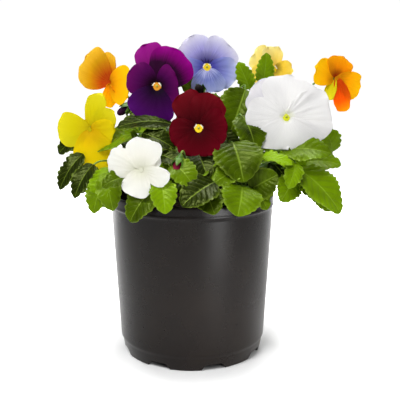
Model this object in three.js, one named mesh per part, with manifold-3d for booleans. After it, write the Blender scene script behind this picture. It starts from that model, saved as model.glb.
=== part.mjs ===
// Potted pansy planter: a blown plastic nursery pot filled with potting mix, eight
// pansy plants growing in it, their nine open blooms and three buds.
// Millimetres, +Z up. The origin is on the pot's axis, on the surface it stands on.
// The front of the planter looks along -Y, and +X is to the right as seen from there.
import * as THREE from 'three';
import { mergeVertices } from 'three/addons/utils/BufferGeometryUtils.js';
import Module from 'manifold-3d';

const wasm = await Module();
wasm.setup();

// ---- Pot: a 165 mm (6.5 in) round nursery pot ----
const POT_HEIGHT = 165;
const POT_SIDES = 32;
const RIM_RADIUS = 83; // outside of the rim band
const RIM_BAND = 12.5; // height of the rim band
const RIM_STEP = 0.9; // how far the band stands proud of the wall
const WALL = 1.8;
const SHOULDER_RADIUS = 74.6; // outside of the wall just above the foot
const SHOULDER_HEIGHT = 17;
const FOOT_RADIUS = 71;
const FOOT_HEIGHT = 12.3;
const FLOOR = 2.5; // floor thickness in the middle
const LEDGE = 8; // height of the raised ring of floor over the drain channels
const LEDGE_RADIUS = 57;
const DRAINS = 8;
const DRAIN_FIRST = 17; // degrees from the front to a drain channel's middle
const DRAIN_WIDTH = 25; // at the foot
const DRAIN_SLOPE = 4; // how far each side of a channel leans in towards its roof
const DRAIN_HEIGHT = 6;
const DRAIN_RADIUS = 60; // where a channel starts
const DRAIN_HOLE = 3.5; // radius of the hole in each channel's roof
const DRAIN_HOLE_AT = 65.5;

// ---- Potting mix ----
const GAP = 0.3; // kept between touching pieces
const SLIVER = 0.08; // detail smaller than this is merged away after joining
const SHORT_EDGE = 0.02; // edges shorter than this are drawn together
const SOIL_SIDES = 16;
const SOIL_EDGE = 147; // height of the mix where it meets the wall
const SOIL_MIDDLE = 150;
const HOLE_DEPTH = 12; // plain hole that each plant's crown stands in
const CROWN_RADIUS = 4.2;
const CROWN_TOP = 162;

// ---- Leaves and stems ----
const BLADE = 0.8; // thickness of a leaf or petal
const STEPS = 4; // stations along a leaf or petal
const SMALL_STEPS = 3; // the same on a small one
const SMALL_LEAF = 30; // width
const SMALL_PETAL = 31; // length
const CRENATION = 0.07; // depth of the scalloped edge, as a share of the half width
const LEAF_ARCH = 0.1; // rise of the midrib's middle, as a share of its length
const LEAF_FOLD = 0.16; // how far the two halves fold up along the midrib
const PETIOLE_RADIUS = 1.25;
const PETIOLE_RING = 2.8; // radius of the ring on the crown where petioles start
const STALK_RADIUS = 1.3;
const STALK_RING = 2; // radius of the ring on the crown where the stalks of blooms start
const STEM_SIDES = 3;

// ---- Blooms ----
const THROAT_DEPTH = 4; // how far the throat lies behind the face of the bloom
const THROAT_RADIUS = 3.4;
const EYE_RADIUS = 5.6; // the throat widens to this at the eye
const EYE_HEIGHT = 4; // from the back of the throat to the eye
const BOWL_REACH = 5; // how soon the petals rise out of the throat
const CURL = 0.0022; // how far the face of a bloom curves back, per mm
const CALYX_LENGTH = 6;
const SEPAL_REACH = 11; // radius of the calyx at the tips of its five sepals
const SEPAL_LEAD = 2; // how far those tips point forward
const SPUR_LENGTH = 8;
const BUD_REACH = 5.6; // the same on a bud, whose sepals close round it
const BUD_LEAD = 7;
const BUD_RADIUS = 4.2; // of its rolled petals
const BUD_STRETCH = 1.7; // how much longer than wide they are

const GREEN = 0x5c9a1e;
const COLOURS = {
  cream: 0xf2efe6, crimson: 0x6e0612, white: 0xf6f6f8, yellow: 0xf2c800, purple: 0x5c0a6e,
  blue: 0x8f92dc, pale_yellow: 0xf6cf5a, orange: 0xf59a10, golden: 0xf5a81c,
};

const degrees = THREE.MathUtils.degToRad;
const vec = (p) => new THREE.Vector3(...p);

// A seeded random number source, from 0 to 1.
function seeded(seed) {
  let state = seed;
  return () => {
    state = (state * 1664525 + 1013904223) % 4294967296;
    return state / 4294967296;
  };
}

// ---------------------------------------------------------------- solids

// Turns a closed three.js geometry into a solid, faces outward.
function solidOf(geometry) {
  let bare = geometry.clone();
  bare.deleteAttribute('normal');
  bare.deleteAttribute('uv');
  bare = mergeVertices(bare, 1e-5);
  const vertProperties = new Float32Array(bare.attributes.position.array);
  const triVerts = new Uint32Array(bare.index.array);
  if (signedVolume(vertProperties, triVerts) < 0) {
    triVerts.reverse();
  }
  return new wasm.Manifold(new wasm.Mesh({ numProp: 3, vertProperties, triVerts }));
}

function signedVolume(points, triangles) {
  const at = (i) => new THREE.Vector3().fromArray(points, 3 * i);
  let sum = 0;
  for (let i = 0; i < triangles.length; i += 3) {
    sum += at(triangles[i]).dot(at(triangles[i + 1]).cross(at(triangles[i + 2])));
  }
  return sum / 6;
}

// The largest connected body of a solid: scraps and sealed hollows are dropped.
function largestBody(solid) {
  const bodies = tidied(solid).decompose();
  return bodies.reduce((best, body) => (body.volume() > best.volume() ? body : best));
}

// The same solid without the slivers that joining leaves: its very short edges are drawn
// together to a point.
function tidied(solid) {
  const { vertProperties, triVerts } = solid.asOriginal().simplify(SLIVER).getMesh();
  const at = (i) => new THREE.Vector3().fromArray(vertProperties, 3 * i);
  const home = Array.from({ length: vertProperties.length / 3 }, (_, i) => i);
  const find = (i) => (home[i] === i ? i : find(home[i]));
  for (let i = 0; i < triVerts.length; i += 1) {
    const next = i % 3 === 2 ? i - 2 : i + 1;
    const [a, b] = [find(triVerts[i]), find(triVerts[next])];
    if (a !== b && at(triVerts[i]).distanceTo(at(triVerts[next])) < SHORT_EDGE) {
      home[Math.max(a, b)] = Math.min(a, b);
    }
  }
  const triangles = [];
  for (let i = 0; i < triVerts.length; i += 3) {
    const [a, b, c] = [find(triVerts[i]), find(triVerts[i + 1]), find(triVerts[i + 2])];
    if (a !== b && b !== c && c !== a) triangles.push(a, b, c);
  }
  const drawn = new wasm.Mesh({ numProp: 3, vertProperties, triVerts: new Uint32Array(triangles) });
  return new wasm.Manifold(drawn);
}

const joined = (solids) => wasm.Manifold.union(solids);

function meshOf(name, solid, colour, roughness) {
  const { vertProperties, triVerts } = solid.getMesh();
  const geometry = new THREE.BufferGeometry();
  geometry.setAttribute('position', new THREE.BufferAttribute(vertProperties, 3));
  geometry.setIndex(new THREE.BufferAttribute(triVerts, 1));
  geometry.computeVertexNormals();
  const material = new THREE.MeshStandardMaterial({ color: colour, roughness, metalness: 0 });
  const mesh = new THREE.Mesh(geometry, material);
  mesh.name = name;
  return mesh;
}

// A turned solid from its profile of [radius, height] points, axis upward.
function turned(profile, sides) {
  const points = profile.map(([radius, height]) => new THREE.Vector2(radius, height));
  return solidOf(new THREE.LatheGeometry(points, sides).rotateX(Math.PI / 2));
}

// A round stem along a curve.
function stem(curve, radius, steps) {
  const section = new THREE.Shape();
  for (let i = 0; i < STEM_SIDES; i += 1) {
    const turn = (2 * Math.PI * i) / STEM_SIDES;
    section[i ? 'lineTo' : 'moveTo'](radius * Math.cos(turn), radius * Math.sin(turn));
  }
  const options = { steps, extrudePath: curve, bevelEnabled: false };
  return solidOf(new THREE.ExtrudeGeometry(section, options));
}

// A thin blade on both sides of a spine. place(along, side, reach) gives the middle of
// its thickness and the direction across it; reach is 0 on the spine and 1 on the edge.
function blade(place, steps, thick) {
  const last = 2 * steps;
  const middles = [];
  for (let k = 0; k <= steps; k += 1) middles.push(place(k / steps, 1, 0));
  for (const side of [1, -1]) {
    for (let i = 1; i < last; i += 1) middles.push(place(i / last, side, 1));
  }
  const edge = (side, i) => {
    if (i === 0) return 0;
    if (i === last) return steps;
    return steps + i + (side > 0 ? 0 : last - 1);
  };
  const face = [];
  const add = (side, a, b, c) => face.push(...(side > 0 ? [a, b, c] : [a, c, b]));
  for (const side of [1, -1]) {
    for (let k = 0; k < steps; k += 1) {
      const outer = edge(side, 2 * k + 1);
      if (k > 0) add(side, k, edge(side, 2 * k), outer);
      add(side, k, outer, k + 1);
      if (k < steps - 1) add(side, k + 1, outer, edge(side, 2 * k + 2));
    }
  }
  return solidOf(thickened(middles, face, rim(edge, last), thick));
}

// The outline of a blade as a closed run of its vertices.
function rim(edge, last) {
  const run = [];
  for (let i = 0; i < last; i += 1) run.push(edge(1, i));
  for (let i = last; i > 0; i -= 1) run.push(edge(-1, i));
  return run;
}

// Gives a surface its thickness: two like faces and a strip along the rim.
function thickened(middles, face, run, thick) {
  const count = middles.length;
  const points = [];
  for (const sign of [0.5, -0.5]) {
    for (const { point, normal } of middles) {
      points.push(...point.clone().addScaledVector(normal, sign * thick).toArray());
    }
  }
  const triangles = [...face];
  for (let i = 0; i < face.length; i += 3) {
    triangles.push(face[i] + count, face[i + 2] + count, face[i + 1] + count);
  }
  run.forEach((a, i) => {
    const b = run[(i + 1) % run.length];
    triangles.push(a, b + count, b, a, a + count, b + count);
  });
  const geometry = new THREE.BufferGeometry();
  geometry.setAttribute('position', new THREE.Float32BufferAttribute(points, 3));
  geometry.setIndex(triangles);
  return geometry;
}

// ---------------------------------------------------------------- leaves

// A pansy leaf: an ovate blade with a scalloped edge, from its base to its tip, wide
// across its middle. looks is the way its upper face turns, arch and fold shape it.
function leaf(from, to, wide, options = {}) {
  return { from: vec(from), to: vec(to), wide, arch: LEAF_ARCH, fold: LEAF_FOLD, ...options };
}

// Directions along, across and out of a leaf. Where looks isn't given, its upper face
// turns outward, upward and to the light at the front.
function leafFrame({ from, to, looks }) {
  const along = to.clone().sub(from).normalize();
  const middle = from.clone().add(to).multiplyScalar(0.5);
  const outward = new THREE.Vector3(middle.x, middle.y, 0).normalize();
  const hint = looks ? vec(looks) : outward.multiplyScalar(0.7).add(new THREE.Vector3(0, -0.4, 0.7));
  const across = along.clone().cross(hint).normalize();
  return { along, across, up: across.clone().cross(along).normalize() };
}

function leafBlade(shape, grow) {
  const { along, across, up } = leafFrame(shape);
  const steps = shape.wide < SMALL_LEAF ? SMALL_STEPS : STEPS;
  const length = shape.from.distanceTo(shape.to) + 2 * grow;
  const start = shape.from.clone().addScaledVector(along, -grow);
  return blade((part, side, reach) => {
    const u = (1 - Math.cos(Math.PI * part)) / 2;
    const tooth = Math.round(part * 2 * steps) % 2 ? 1 + CRENATION : 1 - CRENATION;
    const round = Math.sin(Math.PI * part) * (1 + 0.25 * Math.cos(Math.PI * part));
    const half = reach * ((shape.wide / 2) * round * tooth + grow);
    const rise = shape.arch * length * 4 * u * (1 - u) + shape.fold * half;
    const point = start.clone().addScaledVector(along, length * u)
      .addScaledVector(across, side * half).addScaledVector(up, rise);
    return { point, normal: up };
  }, steps, BLADE + 2 * grow);
}

// The leaf's stem, rising from the crown and bending over into the midrib.
function petiole(crown, shape, grow) {
  const { along } = leafFrame(shape);
  const side = new THREE.Vector3(shape.from.x - crown.x, shape.from.y - crown.y, 0).setLength(PETIOLE_RING);
  const start = new THREE.Vector3(crown.x, crown.y, CROWN_TOP - 3).add(side);
  const end = shape.from.clone().addScaledVector(along, 2);
  const reach = start.distanceTo(end);
  const rise = start.clone().add(new THREE.Vector3(0, 0, 0.45 * reach));
  const lead = end.clone().addScaledVector(along, -0.3 * reach);
  return stem(new THREE.CubicBezierCurve3(start, rise, lead, end), PETIOLE_RADIUS + grow, 3);
}

// ---------------------------------------------------------------- blooms

// A petal: at is its direction in degrees clockwise from the top of the face, long and
// wide its size. layer moves it forward, tilt leans its tip forward, twist turns it about
// its own length and notch draws in the middle of its tip.
function petal(at, long, wide, options = {}) {
  return { at, long, wide, layer: 0, tilt: 0, twist: 0, notch: 0, ...options };
}

// Directions of a bloom: out of its face, to its right and to its top, seen from the front.
function faceFrame({ azimuth, elevation }) {
  const [a, e] = [degrees(azimuth), degrees(elevation)];
  const out = new THREE.Vector3(Math.sin(a) * Math.cos(e), -Math.cos(a) * Math.cos(e), Math.sin(e));
  const right = new THREE.Vector3(Math.cos(a), Math.sin(a), 0);
  return { out, right, top: out.clone().cross(right).normalize() };
}

const throatOf = (bloom) => bloom.face.clone().addScaledVector(faceFrame(bloom).out, -THROAT_DEPTH);

function petalBlade(bloom, shape, grow) {
  const { out, right, top } = faceFrame(bloom);
  const at = degrees(shape.at);
  const along = top.clone().multiplyScalar(Math.cos(at)).addScaledVector(right, Math.sin(at));
  const across = out.clone().cross(along).applyAxisAngle(along, degrees(shape.twist));
  const up = along.clone().cross(across).normalize();
  const start = throatOf(bloom);
  const steps = shape.long < SMALL_PETAL ? SMALL_STEPS : STEPS;
  return blade((part, side, reach) => {
    const tip = part === 1 ? shape.notch : 0;
    const u = (1 - Math.cos(Math.PI * part)) / 2 - tip;
    const round = Math.sin(Math.PI * part) ** 0.8 * (1 - 0.3 * Math.cos(Math.PI * part));
    const half = reach * ((shape.wide / 2) * round + grow);
    const wave = reach * part * 0.5 * Math.sin(5 * Math.PI * part + shape.at + side);
    const from = Math.hypot(shape.long * u, half);
    const bowl = THROAT_DEPTH * (1 - Math.exp(-from / BOWL_REACH)) - CURL * from * from;
    const rise = bowl + wave + shape.layer + shape.long * u * shape.tilt;
    const point = start.clone().addScaledVector(along, shape.long * u + grow * (2 * u - 1))
      .addScaledVector(across, side * half).addScaledVector(up, rise);
    return { point, normal: up };
  }, steps, BLADE + 2 * grow);
}

// A short round piece along a direction, starting at a point.
function peg(start, direction, length, startRadius, endRadius, sides = 6) {
  const geometry = new THREE.CylinderGeometry(endRadius, startRadius, length, sides);
  geometry.translate(0, length / 2, 0);
  const upright = new THREE.Vector3(0, 1, 0);
  geometry.applyQuaternion(new THREE.Quaternion().setFromUnitVectors(upright, direction));
  return solidOf(geometry.translate(start.x, start.y, start.z));
}

// The petals of a bloom on its throat, with the spur that the lowest petal runs back into.
function bloomSolid(bloom, grow) {
  const { out, top } = faceFrame(bloom);
  const throat = throatOf(bloom);
  const back = throat.clone().addScaledVector(out, -1.5 - grow);
  const spur = out.clone().multiplyScalar(-0.6).addScaledVector(top, -1).normalize();
  const solids = bloom.petals.map((shape) => petalBlade(bloom, shape, grow));
  solids.push(peg(back, out, EYE_HEIGHT + 2 * grow, THROAT_RADIUS + grow, EYE_RADIUS + grow));
  solids.push(peg(throat, spur, SPUR_LENGTH + grow, 2.2 + grow, 1.3 + grow, 5));
  return joined(solids);
}

// The green cup behind a bloom or round a bud, its rim drawn out into five pointed sepals.
function calyx(base, out, top, reach, lead, grow) {
  const sides = 10;
  const cup = new THREE.CylinderGeometry(THROAT_RADIUS + grow, 1.5 + grow, CALYX_LENGTH + grow, sides);
  const points = cup.attributes.position;
  for (let i = 0; i < points.count; i += 1) {
    const [x, y, z] = [points.getX(i), points.getY(i), points.getZ(i)];
    const turn = Math.round((Math.atan2(x, z) * sides) / (2 * Math.PI) + sides);
    if (y > 0 && Math.hypot(x, z) > 1 && turn % 2) {
      const pull = (reach + grow) / Math.hypot(x, z);
      points.setXYZ(i, x * pull, y + lead + grow, z * pull);
    }
  }
  const side = out.clone().cross(top);
  const frame = new THREE.Matrix4().makeBasis(side, out, top.clone());
  const middle = base.clone().addScaledVector(out, (CALYX_LENGTH + grow) / 2);
  return solidOf(cup.applyMatrix4(frame).translate(middle.x, middle.y, middle.z));
}

// A flower stalk: up from the crown, then hooked over into the back of the calyx.
function stalk(crown, head, out, grow) {
  const side = new THREE.Vector3(head.x - crown.x, head.y - crown.y, 0).setLength(STALK_RING);
  const start = new THREE.Vector3(crown.x, crown.y, CROWN_TOP - 6).add(side);
  const reach = start.distanceTo(head);
  const rise = start.clone().lerp(head, 0.4).add(new THREE.Vector3(0, 0, 0.25 * reach));
  const behind = head.clone().addScaledVector(out, -0.18 * reach).add(new THREE.Vector3(0, 0, 4));
  const end = head.clone().addScaledVector(out, 2);
  return stem(new THREE.CubicBezierCurve3(start, rise, behind, end), STALK_RADIUS + grow, 7);
}

function bloomGreens(crown, bloom, grow) {
  const { out, top } = faceFrame(bloom);
  const base = throatOf(bloom).addScaledVector(out, -1.5 - GAP - CALYX_LENGTH);
  return [stalk(crown, base, out, grow), calyx(base, out, top, SEPAL_REACH, SEPAL_LEAD, grow)];
}

// ---------------------------------------------------------------- planting layout

const BLOOMS = {
  cream: {
    face: vec([-46, -85, 200]), azimuth: -12, elevation: 5, petals: [
      petal(40, 20, 20, { layer: -2.4 }), petal(-74, 33, 26, { layer: -2.4 }), petal(7, 28, 32),
      petal(109, 27, 17, { layer: 0.8 }), petal(194, 25, 26, { layer: 1.2 })],
  },
  crimson: {
    face: vec([6, -60, 234]), azimuth: -3, elevation: 10, petals: [
      petal(-24, 37, 28, { layer: -2.4 }), petal(23, 34, 32, { layer: -1.2 }), petal(-104, 27, 27),
      petal(82, 26, 32), petal(178, 25, 38, { layer: 1.2, notch: 0.08 })],
  },
  white: {
    face: vec([90, -35, 242]), azimuth: 5, elevation: 10, petals: [
      petal(-46, 43, 37, { layer: -2.4 }), petal(12, 40, 54, { layer: -1.2 }), petal(-95, 38, 42),
      petal(84, 45, 48), petal(176, 30, 64, { layer: 1.2, notch: 0.1 })],
  },
  yellow: {
    face: vec([-100, -20, 229]), azimuth: -15, elevation: 0, petals: [
      petal(14, 36, 20, { layer: -2.4 }), petal(57, 29, 22, { layer: -2.4 }), petal(-92, 34, 33),
      petal(100, 25, 26), petal(170, 40, 43, { layer: 1.2, notch: 0.12 })],
  },
  purple: {
    face: vec([-33, -35, 271]), azimuth: 5, elevation: 8, petals: [
      petal(-11, 42, 28, { layer: -2.4 }), petal(36, 40, 42, { layer: -1.2 }), petal(-64, 29, 30),
      petal(78, 20, 36), petal(198, 32, 43, { layer: 1.2, notch: 0.06 })],
  },
  blue: {
    face: vec([15, 0, 288]), azimuth: 3, elevation: 8, petals: [
      petal(-40, 34, 38, { layer: -2.4 }), petal(44, 32, 36, { layer: -1.2 }), petal(-108, 27, 28),
      petal(106, 30, 30), petal(176, 25, 33, { layer: 1.2, notch: 0.06 })],
  },
  pale_yellow: {
    face: vec([86, 45, 285]), azimuth: 25, elevation: 5, petals: [
      petal(-50, 28, 28, { layer: -2.4 }), petal(0, 24, 24, { layer: -1.2 }), petal(-105, 27, 19),
      petal(94, 23, 20), petal(176, 18, 26, { layer: 1.2, notch: 0.08 })],
  },
  orange: {
    face: vec([146, 10, 277]), azimuth: 25, elevation: 0, petals: [
      petal(-66, 26, 27, { layer: -2.4 }), petal(18, 22, 30, { layer: -1.2 }), petal(112, 32, 27),
      petal(162, 35, 20, { layer: 1.2 }), petal(198, 23, 12, { twist: 55 })],
  },
  golden: {
    face: vec([-85, 20, 273]), azimuth: -28, elevation: 5, petals: [
      petal(-24, 30, 28, { layer: -2.4 }), petal(-58, 41, 42, { layer: -1.2 }),
      petal(98, 31, 38, { tilt: 0.3 }), petal(140, 17, 16, { twist: 50 }),
      petal(188, 25, 16, { twist: -55 })],
  },
};

// Buds: where each one's base is and the way it points.
const BUDS = {
  bud_left: { base: vec([-58, -8, 254]), out: vec([-0.75, -0.35, -0.55]).normalize(), colour: 0x2c0c2e },
  bud_middle: { base: vec([11, -28, 265]), out: vec([-0.3, -0.8, 0.3]).normalize(), colour: 0x1d1613 },
  bud_front: { base: vec([-10, -68, 212]), out: vec([-0.3, -0.35, -0.85]).normalize(), colour: 0x7a1030 },
};

const PLANTS = {
  plant_front_left: {
    crown: vec([-32, -32, 0]), blooms: ['cream'], buds: [], leaves: [
      leaf([-74, -48, 196], [-82, -62, 161], 36, { looks: [-0.4, -0.8, 0.4] }),
      leaf([-62, -76, 192], [-81, -82, 184], 16, { looks: [-0.2, -0.8, 0.5] }),
      leaf([-36, -76, 181], [-56, -84, 152], 28, { looks: [-0.3, -0.8, 0.5] }),
      leaf([-28, -80, 190], [-24, -95, 162], 24, { looks: [0.1, -0.8, 0.5] }),
      leaf([-19, -38, 236], [-70, -46, 234], 26, { looks: [0, -0.5, 0.8] }),
      leaf([-46, -52, 229], [-16, -56, 214], 22, { looks: [0, -0.7, 0.7] }),
    ],
  },
  plant_front: {
    crown: vec([0, -46, 0]), blooms: ['crimson'], buds: ['bud_middle', 'bud_front'], leaves: [
      leaf([20, -76, 187], [-9, -92, 168], 32, { looks: [-0.2, -0.8, 0.6] }),
      leaf([12, -72, 178], [20, -91, 160], 28, { looks: [0, -0.8, 0.6] }),
      leaf([-17, -69, 204], [2, -81, 184], 24, { looks: [0, -0.8, 0.6] }),
      leaf([-30, -60, 210], [-6, -68, 199], 18, { looks: [0, -0.7, 0.7] }),
      leaf([5, -50, 211], [14, -70, 190], 27, { looks: [0, -0.7, 0.7] }),
    ],
  },
  plant_front_right: {
    crown: vec([33, -33, 0]), blooms: ['white'], buds: [], leaves: [
      leaf([46, -70, 182], [41, -88, 158], 37, { looks: [0.2, -0.8, 0.6] }),
      leaf([56, -60, 178], [70, -68, 160], 20, { looks: [0.4, -0.8, 0.5] }),
      leaf([38, -50, 220], [47, -74, 187], 45, { looks: [0.1, -0.8, 0.5] }),
      leaf([55, -57, 177], [79, -64, 192], 30, { looks: [0.3, -0.9, 0.4] }),
      leaf([47, -58, 196], [16, -74, 183], 22, { looks: [0, -0.7, 0.7] }),
      leaf([66, -46, 206], [94, -54, 199], 16, { looks: [0.1, -0.5, 0.8] }),
      leaf([48, -28, 243], [60, -46, 212], 32, { looks: [0.3, -0.8, 0.5] }),
      leaf([98, -48, 200], [90, -58, 178], 18, { looks: [0.2, -0.9, 0.4] }),
    ],
  },
  plant_right: {
    crown: vec([47, 5, 0]), blooms: ['pale_yellow', 'orange'], buds: [], leaves: [
      leaf([87, -34, 211], [132, -42, 208], 31, { looks: [0.1, -0.7, 0.7] }),
      leaf([103, -34, 192], [142, -46, 151], 36, { looks: [0.4, -0.8, 0.5] }),
      leaf([110, -14, 195], [147, -18, 194], 27, { looks: [0.2, -0.6, 0.7] }),
      leaf([142, 2, 204], [132, 0, 229], 24, { looks: [0.3, -0.9, 0.2] }),
      leaf([73, 25, 270], [75, 18, 302], 18, { looks: [0, -1, 0.2] }),
      leaf([98, -30, 182], [85, -46, 163], 26, { looks: [0.3, -0.8, 0.5] }),
    ],
  },
  plant_back: {
    crown: vec([8, 46, 0]), blooms: ['blue'], buds: [], leaves: [
      leaf([58, 8, 267], [46, 4, 293], 17, { looks: [-0.1, -1, 0.2] }),
      leaf([8, 4, 260], [-12, -4, 277], 18, { looks: [0, -0.8, 0.4] }),
    ],
  },
  plant_back_left: {
    crown: vec([-36, 30, 0]), blooms: ['golden'], buds: ['bud_left'], leaves: [
      leaf([-62, 2, 248], [-40, -4, 238], 17, { looks: [0, -0.7, 0.7] }),
    ],
  },
  plant_left: {
    crown: vec([-48, -4, 0]), blooms: ['yellow'], buds: [], leaves: [
      leaf([-107, -18, 205], [-129, -30, 172], 20, { looks: [-0.4, -0.8, 0.4] }),
      leaf([-95, -34, 197], [-112, -48, 167], 22, { looks: [-0.4, -0.8, 0.4] }),
      leaf([-112, -2, 219], [-133, -6, 204], 20, { looks: [-0.4, -0.8, 0.4] }),
    ],
  },
  plant_middle: {
    crown: vec([-4, 0, 0]), blooms: ['purple'], buds: [], leaves: [
      leaf([52, -8, 267], [35, -26, 222], 39, { looks: [0.1, -0.9, 0.3] }),
    ],
  },
};

// Rings of further leaves, low over the rim to high in the middle: how many, between
// which directions in degrees from the front, and the radius and height of base and tip.
const RINGS = [
  { count: 9, first: 98, last: 276, base: [79, 192], tip: [116, 166], wide: 33 },
  { count: 6, first: 86, last: 280, base: [54, 224], tip: [93, 206], wide: 37 },
  { count: 4, first: 120, last: 260, base: [22, 250], tip: [54, 242], wide: 32 },
  { count: 5, first: -78, last: 78, base: [38, 216], tip: [66, 186], wide: 36 },
];

// Which plant grows in each direction, up to the angle given, in degrees from the front.
const SECTORS = [
  [-110, 'plant_back_left'], [-72, 'plant_left'], [-22, 'plant_front_left'], [22, 'plant_front'],
  [66, 'plant_front_right'], [125, 'plant_right'], [205, 'plant_back'], [250, 'plant_back_left'],
  [288, 'plant_left'],
];

function polar(angle, radius, height) {
  return [radius * Math.sin(degrees(angle)), -radius * Math.cos(degrees(angle)), height];
}

function addRingLeaves() {
  const random = seeded(71);
  const vary = (amount) => amount * (2 * random() - 1);
  for (const ring of RINGS) {
    for (let i = 0; i < ring.count; i += 1) {
      const angle = ring.first + ((ring.last - ring.first) * i) / (ring.count - 1) + vary(3);
      const swing = vary(5);
      const from = polar(angle, ring.base[0] + vary(3), ring.base[1] + vary(3));
      const to = polar(angle + swing, ring.tip[0] + vary(5), ring.tip[1] + vary(6));
      const wide = ring.wide + vary(4);
      const owner = SECTORS.find(([limit]) => angle <= limit)[1];
      PLANTS[owner].leaves.push(leaf(from, to, wide));
    }
  }
}

// ---------------------------------------------------------------- pot and soil

function potSolid() {
  const wallTop = POT_HEIGHT - RIM_BAND;
  const wallRadius = RIM_RADIUS - RIM_STEP;
  const body = turned([
    [0, 0], [FOOT_RADIUS - 1.5, 0], [FOOT_RADIUS, 1.5], [SHOULDER_RADIUS - 1.6, FOOT_HEIGHT],
    [SHOULDER_RADIUS, SHOULDER_HEIGHT], [wallRadius, wallTop], [RIM_RADIUS, wallTop + 0.6],
    [RIM_RADIUS, POT_HEIGHT - 1], [RIM_RADIUS - 0.8, POT_HEIGHT],
    [RIM_RADIUS - WALL - RIM_STEP, POT_HEIGHT],
    [wallRadius - WALL, wallTop], [SHOULDER_RADIUS - WALL, SHOULDER_HEIGHT],
    [FOOT_RADIUS - WALL, LEDGE], [LEDGE_RADIUS, LEDGE], [LEDGE_RADIUS - 3, FLOOR], [0, FLOOR],
  ], POT_SIDES);
  return body.subtract(joined(drainCuts()));
}

// The drain channels under the pot's edge and the hole in the roof of each.
function drainCuts() {
  const cuts = [];
  const depth = RIM_RADIUS - DRAIN_RADIUS;
  const [foot, roof] = [DRAIN_WIDTH / 2, DRAIN_WIDTH / 2 - DRAIN_SLOPE];
  const arch = new THREE.Shape([
    [-foot - 1, -2], [foot + 1, -2], [foot + 1, 0], [foot, 0.8], [roof + 1, DRAIN_HEIGHT - 1.4],
    [roof - 1.5, DRAIN_HEIGHT], [1.5 - roof, DRAIN_HEIGHT], [-roof - 1, DRAIN_HEIGHT - 1.4],
    [-foot, 0.8], [-foot - 1, 0],
  ].map(([x, z]) => new THREE.Vector2(x, z)));
  for (let i = 0; i < DRAINS; i += 1) {
    const turn = degrees(DRAIN_FIRST + (360 * i) / DRAINS);
    const channel = new THREE.ExtrudeGeometry(arch, { depth, bevelEnabled: false });
    channel.rotateX(Math.PI / 2).translate(0, -DRAIN_RADIUS, 0).rotateZ(turn);
    const hole = new THREE.CylinderGeometry(DRAIN_HOLE, DRAIN_HOLE, 4 * LEDGE, 8).rotateX(Math.PI / 2);
    hole.translate(0, -DRAIN_HOLE_AT, 0).rotateZ(turn);
    cuts.push(solidOf(channel), solidOf(hole));
  }
  return cuts;
}

// The potting mix fills the pot inside, with a plain hole for each plant's crown.
function soilSolid() {
  const wallTop = POT_HEIGHT - RIM_BAND;
  const wallInner = RIM_RADIUS - RIM_STEP - WALL - GAP;
  const shoulderInner = SHOULDER_RADIUS - WALL - GAP;
  const rise = (SOIL_EDGE - SHOULDER_HEIGHT) / (wallTop - SHOULDER_HEIGHT);
  const edge = shoulderInner + (wallInner - shoulderInner) * rise;
  const mix = turned([
    [0, FLOOR + GAP], [LEDGE_RADIUS - 3 - GAP, FLOOR + GAP], [LEDGE_RADIUS - GAP, LEDGE + GAP],
    [FOOT_RADIUS - WALL - 2 * GAP, LEDGE + GAP], [shoulderInner, SHOULDER_HEIGHT],
    [edge, SOIL_EDGE], [0.8 * edge, SOIL_EDGE + 1.2], [0.4 * edge, SOIL_MIDDLE - 0.8],
    [0, SOIL_MIDDLE],
  ], SOIL_SIDES);
  const floor = SOIL_EDGE - HOLE_DEPTH - GAP;
  const holes = Object.values(PLANTS).map(({ crown }) => {
    const hole = new THREE.CylinderGeometry(CROWN_RADIUS + 0.8, CROWN_RADIUS + 0.8, 40, 8);
    return solidOf(hole.rotateX(Math.PI / 2).translate(crown.x, crown.y, floor + 20));
  });
  return mix.subtract(joined(holes));
}

// ---------------------------------------------------------------- plants

const budSolid = (bud, grow) => {
  const tip = new THREE.SphereGeometry(BUD_RADIUS + grow, 6, 5).scale(1, BUD_STRETCH, 1);
  const turn = new THREE.Quaternion().setFromUnitVectors(new THREE.Vector3(0, 1, 0), bud.out);
  const place = bud.base.clone().addScaledVector(bud.out, CALYX_LENGTH + 6 + GAP);
  return solidOf(tip.applyQuaternion(turn).translate(place.x, place.y, place.z));
};

function budGreens(crown, bud, grow) {
  const right = new THREE.Vector3(0, 0, 1).cross(bud.out).normalize();
  const top = bud.out.clone().cross(right).normalize();
  return [stalk(crown, bud.base, bud.out, grow), calyx(bud.base, bud.out, top, BUD_REACH, BUD_LEAD, grow)];
}

// A plant's crown, flower stalks and calyces.
function stalks(plant, grow) {
  const foot = new THREE.Vector3(plant.crown.x, plant.crown.y, SOIL_EDGE - HOLE_DEPTH);
  const up = new THREE.Vector3(0, 0, 1);
  const solids = [peg(foot, up, CROWN_TOP - foot.z, CROWN_RADIUS + grow, CROWN_RADIUS - 1 + grow, 8)];
  plant.blooms.forEach((name) => solids.push(...bloomGreens(plant.crown, BLOOMS[name], grow)));
  plant.buds.forEach((name) => solids.push(...budGreens(plant.crown, BUDS[name], grow)));
  return joined(solids);
}

function foliage(plant, grow) {
  return joined(plant.leaves.flatMap((shape) => [
    leafBlade(shape, grow), petiole(plant.crown, shape, grow)]));
}

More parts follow.
